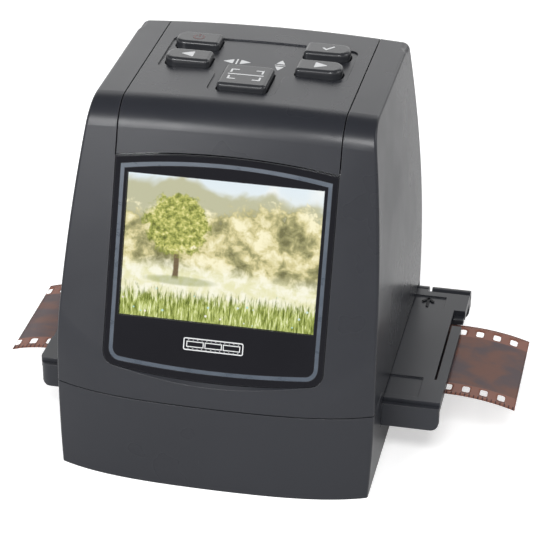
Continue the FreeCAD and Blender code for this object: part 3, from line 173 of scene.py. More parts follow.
class FilmShape(bpy.types.PropertyGroup):
    thick: length("Thickness", "Thickness of the film", 0.14 * MM)
    pitch: length("Perforation pitch", "Distance between perforations", 4.65 * MM)
    first_hole: length("First perforation", "Centre of the perforation nearest the right end", 69.6 * MM)
    hole_long: length("Perforation length", "Length of a perforation along the film", 1.98 * MM)
    hole_wide: length("Perforation width", "Width of a perforation across the film", 2.8 * MM)
    hole_inset: length("Perforation inset", "Bare edge outside the perforations", 2.0 * MM)
    hole_round: length("Perforation corner", "Corner radius of a perforation", 0.5 * MM)
    right_radius: length("Right curl", "Radius of the film's curl past the holder's right end", 58.0 * MM)
    left_radius: length("Left curl", "Radius of the film's curl past the holder's left end", 34.0 * MM)
    flat_right: length("Flat to the right", "Reach of the flat film to the right", 55.45 * MM)
    flat_left: length("Flat to the left", "Reach of the flat film to the left", 50.15 * MM)
    left_spare: length("Left reach", "Reach of the film past the solid strip's left end", 1.3 * MM)
    base: colour("Film base", "Colour of the light that the film base lets through", (0.385, 0.204, 0.156))
    picture: colour("Film picture", "Colour of the light that the darkest picture parts let through",
                    (0.172, 0.128, 0.137))


class MarkShape(bpy.types.PropertyGroup):
    stroke: length("Stroke", "Width of the printed lines", 0.52 * MM)
    height: length("Symbol height", "Height of the symbols on the keys", 3.1 * MM)
    film_icon: length("Film icon", "Length of the printed film strip below the picture", 15.0 * MM)
    ink: length("Ink", "Height of the print above its surface", 0.02 * MM)


class StudioSettings(bpy.types.PropertyGroup):
    place: vector("Camera place", "Where the camera stands", (0.11311, -0.49749, 0.32593),
                  subtype="TRANSLATION", unit="LENGTH")
    view: vector("View direction", "The way the camera looks", (-0.18189, 0.85474, -0.48614),
                 subtype="DIRECTION")
    up: vector("Up direction", "The picture's upward direction", (-0.10421, 0.47485, 0.87388),
               subtype="DIRECTION")
    lens: FloatProperty(name="Focal length", description="The lens, in millimetres on a 36 mm sensor",
                        default=149.9, min=1.0, unit="CAMERA")
    sky: strength("Sky", "Strength of the even light from all round", 0.20)
    ceiling: strength("Ceiling", "Brightness of the ceiling that gloss shows", 0.15)
    floor_white: strength("Floor white", "White that the camera sees on the floor near the object", 0.51)
    floor: colour("Floor", "Colour of the floor", (0.80, 0.80, 0.80))


class ScannerSettings(bpy.types.PropertyGroup):
    casing: PointerProperty(type=CasingFinish, name="Casing", description="Finish of the plastics")
    display: PointerProperty(type=DisplayFinish, name="Display", description="Finish of the display")
    film: PointerProperty(type=FilmShape, name="Film", description="Shape and colour of the film")
    marks: PointerProperty(type=MarkShape, name="Marks", description="Sizes of the printed marks")
    studio: PointerProperty(type=StudioSettings, name="Studio", description="Camera, floor and light")


def scanner():
    """All sizes and colours of the scanner."""
    return bpy.context.scene.film_scanner


# Node helpers

MIX_AMOUNT, MIX_FIRST, MIX_SECOND, MIX_COLOUR_OUT = 0, 6, 7, 2  # sockets that a Mix node uses for colours
BEVEL_SAMPLES = 6
FLAT_ENOUGH, FULL_EDGE = 0.995, 0.80  # how alike a rounded and a flat normal are off an edge, and on it
PATTERN_LOW, PATTERN_HIGH = 0.3, 0.7  # where most of a noise pattern lies


def shade(tone, times, more=0.0):
    """A colour made darker or lighter, up to white."""
    return tuple(min(part * times + more, 1.0) for part in tone)


class Nodes:
    """Short calls for the nodes of one material or world."""

    def __init__(self, owner):
        owner.use_nodes = True
        self.tree = owner.node_tree
        self.tree.nodes.clear()

    def add(self, kind, inputs=None, **settings):
        """A shader node with its settings, and its inputs set or linked by name or number."""
        node = self.tree.nodes.new("ShaderNode" + kind)
        for name, value in settings.items():
            setattr(node, name, value)
        for name, value in (inputs or {}).items():
            self.feed(node.inputs[name], value)
        return node

    def feed(self, socket, value):
        """Links a socket to another one, or sets its value; a colour of three numbers gets full alpha."""
        if isinstance(value, bpy.types.NodeSocket):
            self.tree.links.new(value, socket)
        elif socket.type == "RGBA":
            socket.default_value = (*value[:3], 1.0)
        else:
            socket.default_value = value

    def mixed(self, amount, first, second):
        """Two colours mixed by an amount."""
        node = self.add("Mix", data_type="RGBA")
        for index, value in ((MIX_AMOUNT, amount), (MIX_FIRST, first), (MIX_SECOND, second)):
            self.feed(node.inputs[index], value)
        return node.outputs[MIX_COLOUR_OUT]

    def sums(self, operation, *values):
        """One Math node on one, two or three numbers."""
        return self.add("Math", dict(enumerate(values)), operation=operation).outputs[0]

    def plus(self, first, second):
        return self.sums("ADD", first, second)

    def minus(self, first, second):
        return self.sums("SUBTRACT", first, second)

    def times(self, first, second):
        return self.sums("MULTIPLY", first, second)

    def larger(self, first, second):
        return self.sums("MAXIMUM", first, second)

    def far_from(self, value, centre):
        """How far a number is from a centre, on either side."""
        return self.sums("ABSOLUTE", self.minus(value, centre))

    def blended(self, amount, first, second):
        """Two patterns in one: the first by an amount, the second by the rest."""
        return self.sums("MULTIPLY_ADD", first, amount, self.times(second, 1.0 - amount))

    def shaken(self, value, pattern, amount):
        """A number pushed up and down by a pattern about its middle value of a half."""
        return self.sums("MULTIPLY_ADD", self.minus(pattern, 0.5), amount, value)

    def ramped(self, value, low_in, high_in, low_out=0.0, high_out=1.0):
        """A number carried from one range to another, with soft ends."""
        return self.add("MapRange", {"Value": value, "From Min": low_in, "From Max": high_in,
                                     "To Min": low_out, "To Max": high_out},
                        interpolation_type="SMOOTHSTEP").outputs[0]

    def stepped(self, value, stops):
        """A colour ramp over (place, colour) stops."""
        node = self.add("ValToRGB", {"Fac": value})
        ramp = node.color_ramp
        while len(ramp.elements) < len(stops):
            ramp.elements.new(0.5)
        for element, (place, tone) in zip(ramp.elements, stops):
            element.position = place
            element.color = (*tone, 1.0)
        return node.outputs[0]

    def place(self, source=None, scale=(1.0, 1.0, 1.0), turn=(0.0, 0.0, 0.0), start=(0.0, 0.0, 0.0)):
        """Coordinates moved, turned and stretched; where none are given, the object's own."""
        if source is None:
            source = self.add("TexCoord").outputs["Object"]
        return self.add("Mapping", {"Vector": source, "Location": start, "Rotation": turn,
                                    "Scale": scale}).outputs[0]

    def noise(self, scale, detail=2.0, roughness=0.5, place=None, distortion=0.0):
        """Cloudy noise: its scale in repeats per unit of the coordinates, its detail and its roughness."""
        place = self.place() if place is None else place
        return self.add("TexNoise", {"Vector": place, "Scale": scale, "Detail": detail,
                                     "Roughness": roughness, "Distortion": distortion}).outputs[0]


class Finish(Nodes):
    """A material with a Principled surface."""

    def __init__(self, name):
        self.material = bpy.data.materials.new(name)
        super().__init__(self.material)
        self.surface = self.add("BsdfPrincipled")
        self.output = self.add("OutputMaterial", {0: self.surface.outputs[0]})

    def flat(self):
        """The piece's flat coordinates, whole and as their two parts."""
        whole = self.add("UVMap", uv_map="flat").outputs[0]
        parts = self.add("SeparateXYZ", {"Vector": whole}).outputs
        return whole, parts[0], parts[1]

    def edges(self, radius):
        """A rounded normal at the edges, and a mask that is 1 on them and 0 on flat ground."""
        rounded = self.add("Bevel", {"Radius": radius}, samples=BEVEL_SAMPLES).outputs[0]
        flat = self.add("NewGeometry").outputs["Normal"]
        product = self.add("VectorMath", {0: rounded, 1: flat}, operation="DOT_PRODUCT")
        return rounded, self.ramped(product.outputs["Value"], FLAT_ENOUGH, FULL_EDGE)

    def bump(self, pattern, depth, normal=None, strength=1.0):
        """Raises the surface by a pattern, on the mesh's own normal or a given one."""
        node = self.add("Bump", {"Height": pattern, "Distance": depth, "Strength": strength})
        if normal is not None:
            self.feed(node.inputs["Normal"], normal)
        self.feed(self.surface.inputs["Normal"], node.outputs[0])

    def gloss(self, pattern, least, most):
        """Roughness from least to most, by a pattern."""
        return self.ramped(pattern, PATTERN_LOW, PATTERN_HIGH, least, most)

    def fill(self, tone, roughness, **others):
        """Colour and roughness of the surface, its other sockets by name, and the finished material."""
        self.feed(self.surface.inputs["Base Color"], tone)
        self.feed(self.surface.inputs["Roughness"], roughness)
        for name, value in others.items():
            self.feed(self.surface.inputs[name.replace("_", " ")], value)
        return self.material

    def show(self, kind, *inputs):
        """Shows two shaders, mixed or added, in place of the bare surface."""
        both = self.add(kind, dict(enumerate(inputs)))
        self.feed(self.output.inputs[0], both.outputs[0])


# Materials

def moulded_plastic(name, tone, roughness, grain=1.0, relief=1.0, edge=1.0, specular=0.3, edge_highlight_share=0.55):
    """Moulded plastic: a fine grain, cloudy gloss, faint dust, and a painted highlight that lightens every
    edge.

    Grain, relief and edge are multiples of the casing's own.
    """
    look = scanner().casing
    paint = Finish(name)
    cloud = paint.noise(38.0, 3.0)
    specks = paint.noise(0.35 / (look.grain * grain), 2.0, 0.65)
    fine = paint.noise(1.0 / (look.grain * grain), 3.0, 0.6)
    rounded, mask = paint.edges(look.edge * edge)
    body = paint.mixed(cloud, shade(tone, 0.93), shade(tone, 1.07))
    dust = (0.25, 0.25, 0.25)
    dusted = paint.mixed(paint.ramped(specks, 0.70, 0.84, 0.0, 0.06), body, dust)
    # painted highlight: the colour is lightened along every edge, as if light caught it there
    painted_edge_highlight = shade(tone, 1.0, edge_highlight_share * 0.09)
    gloss = paint.gloss(cloud, roughness - 0.035, roughness + 0.035)
    paint.bump(fine, look.relief * relief, rounded)
    return paint.fill(paint.mixed(paint.times(mask, edge_highlight_share), dusted, painted_edge_highlight),
                      paint.minus(gloss, paint.times(mask, 0.08)), Specular_IOR_Level=specular)


def metal(name, tone, roughness, brush):
    """Sheet or turned metal: fine brushed lines, cloudy tarnish and a painted highlight that brightens the
    edges.
    """
    paint = Finish(name)
    lines = paint.noise(220.0, 4.0, 0.7, paint.place(scale=brush))
    rounded, mask = paint.edges(0.12 * MM)
    body = paint.mixed(paint.noise(160.0, 3.0), shade(tone, 0.78), tone)
    paint.bump(lines, 0.002 * MM, rounded, 0.5)
    # painted highlight: the colour is a quarter lighter along the edges
    return paint.fill(paint.mixed(mask, body, shade(tone, 1.25)),
                      paint.gloss(lines, roughness - 0.04, roughness + 0.06), Metallic=1.0)


def gloss_black(name):
    """Polished black acrylic with the faintest haze, a few hair scratches and a painted highlight along its
    edges.
    """
    paint = Finish(name)
    tone = scanner().display.frame_black
    haze = paint.noise(55.0, 3.0)
    hair = paint.noise(1.0, 3.0, 0.7, paint.place(scale=(40.0, 900.0, 900.0), turn=(0.35, 0.1, 0.5)))
    rounded, mask = paint.edges(0.30 * MM)
    body = paint.mixed(haze, tone, shade(tone, 1.35))
    paint.bump(hair, 0.0006 * MM, rounded)
    # rim: a painted highlight, a lighter grey laid along the frame's rounded edges
    rim = (0.045, 0.046, 0.050)
    scratched = paint.ramped(hair, 0.66, 0.80, 0.0, 0.16)
    return paint.fill(paint.mixed(mask, body, rim), paint.plus(paint.gloss(haze, 0.07, 0.13), scratched),
                      Specular_IOR_Level=0.06)


def painted_line(name):
    """Satin blue-grey paint laid in a groove: brush streaks along it and thin spots."""
    paint = Finish(name)
    tone = scanner().display.line
    streaks = paint.noise(3.0, 3.0, place=paint.place(scale=(60.0, 500.0, 60.0)))
    thin = paint.noise(420.0, 4.0, 0.7)
    body = paint.mixed(streaks, shade(tone, 0.82), shade(tone, 1.12))
    paint.bump(thin, 0.003 * MM)
    return paint.fill(paint.mixed(paint.ramped(thin, 0.68, 0.8, 0.0, 0.5), body, shade(tone, 0.5)),
                      paint.gloss(streaks, 0.26, 0.38))


def clear_pane(name):
    """A clear hard-coated window: see-through, with a reflection that grows to its rim and light smears."""
    paint = Finish(name)
    smear = paint.noise(70.0, 4.0, 0.6, paint.place(scale=(1.0, 1.0, 3.0)))
    clear = paint.add("BsdfTransparent", {"Color": (0.985, 0.99, 0.99)})
    outer = paint.minus(1.0, paint.add("NewGeometry").outputs["Backfacing"])
    facing = paint.times(paint.add("Fresnel", {"IOR": 1.22}).outputs[0], outer)
    smeared = paint.sums("MULTIPLY_ADD", paint.ramped(smear, 0.62, 0.85, 0.0, 0.012), outer, facing)
    mirror = paint.add("BsdfAnisotropic", {"Color": (1.0, 1.0, 1.0), "Roughness": 0.06})
    paint.show("MixShader", smeared, clear.outputs[0], mirror.outputs[0])
    return paint.fill((0.9, 0.93, 0.95), paint.ramped(smear, 0.35, 0.75, 0.03, 0.14), Specular_IOR_Level=0.3)


def rubber(name):
    """Soft black rubber: matt, faintly dusty, with a sanded surface."""
    paint = Finish(name)
    black, dusty = (0.016, 0.016, 0.016), (0.060, 0.058, 0.055)
    dust = paint.noise(600.0, 4.0, 0.7)
    paint.bump(paint.noise(5200.0, 2.0, 0.6), 0.02 * MM)
    return paint.fill(paint.mixed(paint.ramped(dust, 0.4, 0.8), black, dusty),
                      paint.gloss(dust, 0.72, 0.88), Specular_IOR_Level=0.3)


def circuit_board(name):
    """A solder-masked board: a green mask over copper tracks, plated holes and a glass weave."""
    paint = Finish(name)
    laminate, raised, plating = (0.006, 0.110, 0.045), (0.018, 0.220, 0.090), (0.78, 0.56, 0.25)
    tracks = paint.add("TexBrick", {"Vector": paint.place(scale=(1.0, 1.0, 0.001)), "Scale": 330.0,
                                    "Mortar Size": 0.10, "Mortar Smooth": 0.2, "Bias": 0.0,
                                    "Brick Width": 1.7, "Row Height": 0.45},
                       offset=0.35, squash=0.6, squash_frequency=3).outputs["Fac"]
    dots = paint.add("TexVoronoi", {"Vector": paint.place(), "Scale": 420.0, "Randomness": 0.85})
    plated = paint.ramped(dots.outputs["Distance"], 0.13, 0.10)
    weave = paint.noise(3000.0, 1.0, place=paint.place(scale=(1.0, 0.05, 1.0)))
    paint.bump(paint.plus(tracks, paint.times(weave, 0.2)), 0.03 * MM)
    return paint.fill(paint.mixed(plated, paint.mixed(tracks, laminate, raised), plating),
                      paint.gloss(weave, 0.26, 0.40))


def chip_package(name):
    """Black moulded epoxy of a chip: matt, with fine filler specks and a faint laser haze."""
    paint = Finish(name)
    filler = paint.noise(4200.0, 2.0, 0.6)
    paint.bump(filler, 0.01 * MM)
    return paint.fill(paint.mixed(paint.noise(260.0, 3.0), (0.012, 0.012, 0.013), (0.030, 0.030, 0.031)),
                      paint.gloss(filler, 0.42, 0.62))


def amber_flex(name):
    """A polyimide flat cable: amber film over parallel copper lines."""
    paint = Finish(name)
    amber, copper, cloudy = (0.36, 0.13, 0.015), (0.62, 0.30, 0.08), (0.42, 0.18, 0.03)
    lines = paint.add("TexWave", {"Vector": paint.place(), "Scale": 320.0, "Distortion": 0.0,
                                  "Detail": 0.0}, bands_direction="X").outputs["Fac"]
    cloud = paint.noise(200.0, 3.0)
    paint.bump(lines, 0.02 * MM)
    return paint.fill(paint.mixed(cloud, paint.mixed(paint.ramped(lines, 0.45, 0.55), amber, copper), cloudy),
                      paint.gloss(cloud, 0.18, 0.32))


def opal_diffuser(name):
    """Milky acrylic over the lamp: light comes through it evenly, with soft clouds."""
    paint = Finish(name)
    frost = paint.noise(3600.0)
    paint.bump(frost, 0.004 * MM)
    return paint.fill(paint.mixed(paint.noise(90.0), (0.76, 0.78, 0.78), (0.84, 0.85, 0.84)),
                      paint.gloss(frost, 0.42, 0.55), Subsurface_Weight=0.5, Subsurface_Scale=2.0 * MM)


def phosphor(name):
    """Yellow phosphor of a white lamp chip, in fine deep and pale grains."""
    paint = Finish(name)
    grain = paint.noise(3000.0, 3.0)
    paint.bump(grain, 0.01 * MM)
    return paint.fill(paint.mixed(grain, (0.78, 0.56, 0.10), (0.90, 0.74, 0.24)),
                      paint.gloss(grain, 0.30, 0.45))


def lens_glass(name):
    """Coated optical glass with a thin blue-violet sheen and the odd speck of dust."""
    paint = Finish(name)
    glass, speck = (0.86, 0.90, 0.96), (0.5, 0.5, 0.5)
    dust = paint.noise(2400.0)
    return paint.fill(paint.mixed(paint.ramped(dust, 0.72, 0.8), glass, speck),
                      paint.ramped(dust, 0.6, 0.8, 0.02, 0.15), Transmission_Weight=1.0, IOR=1.52,
                      Coat_Weight=0.6, Coat_Tint=(0.72, 0.66, 1.0))


def panel_glass(name):
    """The dark, slightly cloudy glass of the display panel."""
    paint = Finish(name)
    cloud = paint.noise(120.0, 3.0)
    return paint.fill(paint.mixed(cloud, (0.012, 0.014, 0.018), (0.022, 0.024, 0.030)),
                      paint.gloss(cloud, 0.12, 0.22))


def printed_ink(name, tone):
    """Silk-screened ink: slightly uneven, with pinholes and a soft sheen."""
    paint = Finish(name)
    ground = (0.1, 0.1, 0.11)
    pinholes = paint.noise(2600.0, 3.0, 0.7)
    patchy = paint.noise(420.0, 3.0)
    paint.bump(pinholes, 0.004 * MM)
    return paint.fill(paint.mixed(paint.ramped(pinholes, 0.70, 0.82, 0.0, 0.6),
                                  paint.mixed(patchy, shade(tone, 0.86), tone), ground),
                      paint.gloss(patchy, 0.42, 0.58))


def gold_plate(name):
    """Gold plating on contacts: slightly cloudy, with fine wiping lines along the contact."""
    paint = Finish(name)
    wiped = paint.noise(900.0, 3.0, place=paint.place(scale=(6.0, 0.4, 6.0)))
    paint.bump(wiped, 0.004 * MM, strength=0.6)
    return paint.fill(paint.mixed(paint.noise(500.0), (0.80, 0.53, 0.16), (0.93, 0.68, 0.28)),
                      paint.gloss(wiped, 0.18, 0.32), Metallic=1.0)


def finish_nodes(material, *nodes):
    """Gives CAD nodes' own slots one material."""
    for node in nodes:
        for place in frame["nodes"][node].material_slots:
            place.material = material


# Mesh helpers

WELD = 0.002 * MM


def add_object(name, data):
    """A new object in the scene."""
    item = bpy.data.objects.new(name, data)
    bpy.context.scene.collection.objects.link(item)
    return item


def new_piece(name, points, faces, material, body, slot, uv=None):
    """A mesh object from arrays of points and faces, riding on a body of the part."""
    mesh = bpy.data.meshes.new(name)
    mesh.from_pydata(points, [], faces.tolist())
    if uv is not None:
        layer = mesh.uv_layers.new(name="flat")
        corners = np.zeros(len(mesh.loops), dtype=np.int32)
        mesh.loops.foreach_get("vertex_index", corners)
        layer.data.foreach_set("uv", uv[corners].ravel())
    mesh.materials.append(material)
    item = add_object(name, mesh)
    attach(item, body)
    return item


def grid_faces(rows, columns, closed=False):
    """The quads of a grid of points stored row by row, optionally closed along the columns."""
    last = columns if closed else columns - 1
    row, column = np.meshgrid(np.arange(rows - 1), np.arange(last), indexing="ij")
    following = (column + 1) % columns
    here, above = row * columns, (row + 1) * columns
    return np.stack([here + column, here + following, above + following, above + column],
                    axis=-1).reshape(-1, 4)


def cap_faces(ring_start, count, centre):
    """The quads that close a ring of an even number of points onto one centre point."""
    first = np.arange(0, count, 2)
    return np.stack([np.full(len(first), centre), ring_start + first, ring_start + first + 1,
                     ring_start + (first + 2) % count], axis=1)


def grid_shape(along, across):
    """A plain grid over places along and across, as (points, faces)."""
    x, y = np.meshgrid(along, across)
    return np.stack([x, y], axis=-1).reshape(-1, 2), grid_faces(len(across), len(along))


def joined_shapes(shapes):
    """Several (points, faces) shapes as one."""
    points, faces, start = [], [], 0
    for shape_points, shape_faces in shapes:
        points.append(shape_points)
        faces.append(shape_faces + start)
        start += len(shape_points)
    return np.concatenate(points), np.concatenate(faces)


def square_ring(count_long, count_wide):
    """Points round a square from -1 to 1, evenly spaced along each side."""
    along = np.linspace(-1, 1, count_long + 1)[:-1]
    across = np.linspace(-1, 1, count_wide + 1)[:-1]
    bottom = np.stack([along, np.full_like(along, -1)], axis=1)
    right = np.stack([np.full_like(across, 1), across], axis=1)
    return np.concatenate([bottom, right, -bottom, -right])


def rounded_ring(ring, half, corner):
    """The ring carried onto a rounded rectangle: its core is clamped and the rest is a corner's arc."""
    point = ring * half
    core = np.clip(point, -(half - corner), half - corner)
    rest = point - core
    span = np.linalg.norm(rest, axis=1, keepdims=True)
    return core + rest / np.where(span > 0, span, 1) * corner


def thicken(item, name, thick, offset):
    """Gives a thin piece its wall, where an offset of 0 lies about its middle and 1 outside it."""
    wall = item.modifiers.new(name, "SOLIDIFY")
    wall.thickness = thick
    wall.offset = offset


# Film

CELL_LONG, CELL_WIDE, CELL_RINGS = 8, 6, 3  # quads round a perforation, and rings from it to its cell's edge
MIDDLE_ROWS, END_COLUMNS = 17, 4  # lines of points over the film's middle, and over its bare right end
BAND_TRIM = 1.4 * MM  # by which a perforated band is narrower than a perforation with two insets


def film_line(run):
    """Where a distance along the film lies: flat inside the holder, then an arc down past each end.

    Past a flat end, the distance is an arc's length, so x grows by r sin a and the height falls by
    r (1 - cos a) with a = distance / r.
    """
    film = scanner().film
    level = high("film_strip")[2] - film.thick / 2
    right = np.clip(run - film.flat_right, 0, None) / film.right_radius
    left = np.clip(-film.flat_left - run, 0, None) / film.left_radius
    x = np.clip(run, -film.flat_left, film.flat_right)
    x = x + film.right_radius * np.sin(right) - film.left_radius * np.sin(left)
    drop = film.right_radius * (1 - np.cos(right)) + film.left_radius * (1 - np.cos(left))
    return x, level - drop


def film_ends():
    """The distances along the film of its two ends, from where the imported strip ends."""
    film = scanner().film
    reach_right = high("film_strip")[0] - film.flat_right
    reach_left = -film.flat_left - low("film_strip")[0]
    right = film.flat_right + film.right_radius * math.asin(reach_right / film.right_radius)
    left = -film.flat_left - film.left_radius * math.asin(reach_left / film.left_radius) - film.left_spare
    return left, right


def film_sheet():
    """The film laid flat, as points (distance along it, place across it) and quads.

    Each long edge is a row of cells with a perforation: a cell's rings go from the hole's outline h to
    the cell's own outline c as h (1 - t) + c t. Plain grids fill the middle and the bare right end, and
    all of it is cut to the film's ends.
    """
    film = scanner().film
    left, right = film_ends()
    front, back = low("film_strip")[1], high("film_strip")[1]
    pitch = film.pitch
    count = math.ceil((film.first_hole + pitch / 2 - left) / pitch)
    if count < 2:
        raise RuntimeError("the film is shorter than two perforations")
    ring = square_ring(CELL_LONG, CELL_WIDE)
    hole = rounded_ring(ring, np.array([film.hole_long, film.hole_wide]) / 2, film.hole_round)
    band = 2 * film.hole_inset + film.hole_wide - BAND_TRIM
    centres = film.first_hole - pitch * np.arange(count)
    share_out = np.linspace(0, 1, CELL_RINGS)[:, None, None]
    cell_faces = grid_faces(CELL_RINGS, len(ring), closed=True)
    shapes = []
    for edge, sign in ((front, 1), (back, -1)):
        hole_y = edge + sign * (film.hole_inset + film.hole_wide / 2)
        cell = ring * np.array([pitch / 2, band / 2]) + np.array([0, edge + sign * band / 2 - hole_y])
        patch = (hole * (1 - share_out) + cell * share_out).reshape(-1, 2)
        shapes += [(patch + np.array([centre, hole_y]), cell_faces) for centre in centres]
    cells_left, cells_right = centres[-1] - pitch / 2, centres[0] + pitch / 2
    rows = np.linspace(front + band, back - band, MIDDLE_ROWS)
    shapes.append(grid_shape(np.linspace(cells_left, cells_right, count * CELL_LONG + 1), rows))
    end_rows = np.concatenate([np.linspace(front, front + band, CELL_WIDE + 1), rows[1:-1],
                               np.linspace(back - band, back, CELL_WIDE + 1)])
    shapes.append(grid_shape(np.linspace(cells_right, right, END_COLUMNS), end_rows))
    flat, faces = joined_shapes(shapes)
    flat[:, 0] = np.clip(flat[:, 0], left, right)
    return flat, faces


def film_material():
    """Developed colour film: orange base, darker mottled picture frames, edge marks, and a gloss.

    The flat coordinates of the strip give the frames: a frame every eight perforations, with soft
    painted shapes of light and dark inside it.
    """
    film = scanner().film
    frame_pitch, frame_long, frame_wide, soft = 8 * film.pitch, 36.8 * MM, 24.4 * MM, 0.3 * MM
    tick_pitch, tick_start, tick_ink = film.pitch / 4, 0.72, 0.85
    margin_wide, margin_solid, glossy_share = 1.5 * MM, 1.35 * MM, 0.38
    paint = Finish("film_base_dressed")
    flat, along, across = paint.flat()

    def within(value, centre, size):
        return paint.ramped(paint.far_from(value, centre), size / 2, size / 2 - soft)

    ahead = paint.plus(along, 1.0)  # a metre more keeps the remainder positive
    inside = paint.times(within(paint.sums("MODULO", ahead, frame_pitch), frame_pitch / 2, frame_long),
                         within(across, float(middle("film_strip")[1]), frame_wide))
    place = paint.place(flat, scale=(1.0, 1.6, 1.0), turn=(0.0, 0.0, 0.4))
    shapes = paint.noise(75.0, 3.0, 0.45, place, 0.9)
    strokes = paint.noise(380.0, 4.0, 0.6, place, 0.5)
    dark = paint.ramped(paint.blended(0.8, shapes, strokes), 0.38, 0.60)
    shot = paint.mixed(dark, shade(film.base, 0.72), film.picture)
    clear = paint.mixed(inside, film.base, shot)
    tick_run = paint.sums("FRACT", paint.times(along, 1.0 / tick_pitch))
    margin = paint.ramped(paint.minus(across, float(low("film_strip")[1])), margin_wide, margin_solid)
    marked = paint.times(paint.times(paint.sums("GREATER_THAN", tick_run, tick_start), margin), tick_ink)
    marks = paint.mixed(marked, clear, (0.055, 0.040, 0.050))
    through = paint.add("BsdfTransparent", {"Color": marks})
    paint.bump(shapes, 0.02 * MM)
    paint.show("MixShader", glossy_share, through.outputs[0], paint.surface.outputs[0])
    return paint.fill(marks, paint.gloss(strokes, 0.10, 0.22), Specular_IOR_Level=0.5)


class SCANNER_OT_film(bpy.types.Operator):
    """Lays the perforated, curling film strip in the holder"""
    bl_idname = "film_scanner.film"
    bl_label = "Film strip"

    def execute(self, context):
        flat, faces = film_sheet()
        x, z = film_line(flat[:, 0])
        points = np.stack([x, flat[:, 1], z], axis=1)
        item = new_piece("film_strip_dressed", points, faces, film_material(), "film", "film_base", uv=flat)
        self.weld(item.data)
        item.data.polygons.foreach_set("use_smooth", [True] * len(item.data.polygons))
        thicken(item, "Film_thickness", scanner().film.thick, 0.0)
        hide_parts("film_strip")
        return {"FINISHED"}

    def weld(self, mesh):
        """Joins the patches where they meet, and drops what the cut at the ends left without area."""
        work = bmesh.new()
        work.from_mesh(mesh)
        bmesh.ops.remove_doubles(work, verts=work.verts, dist=WELD)
        bmesh.ops.dissolve_degenerate(work, edges=work.edges, dist=WELD)
        bmesh.ops.recalc_face_normals(work, faces=work.faces)
        work.to_mesh(mesh)
        work.free()


# Display

PICTURE_GAP = 0.15 * MM  # from the pane's back to the picture
PICTURE_COLUMNS, PICTURE_ROWS = 25, 19
WOOD_TONES = ((0.37, (0.20, 0.19, 0.085)), (0.45, (0.40, 0.375, 0.175)),
              (0.51, (0.74, 0.66, 0.34)), (0.59, (1.0, 0.93, 0.64)))
CROWN_TONES = ((0.36, (0.13, 0.145, 0.035)), (0.47, (0.33, 0.36, 0.085)),
               (0.56, (0.66, 0.64, 0.20)), (0.66, (0.98, 0.92, 0.52)))
GRASS_TONES = ((0.37, (0.10, 0.13, 0.022)), (0.46, (0.27, 0.32, 0.065)),
               (0.54, (0.56, 0.62, 0.20)), (0.63, (0.95, 0.97, 0.60)))
FLOWER_TONES = ((0.0, (0.90, 0.42, 0.52)), (0.45, (0.98, 0.93, 0.86)), (0.8, (0.50, 0.80, 0.74)))


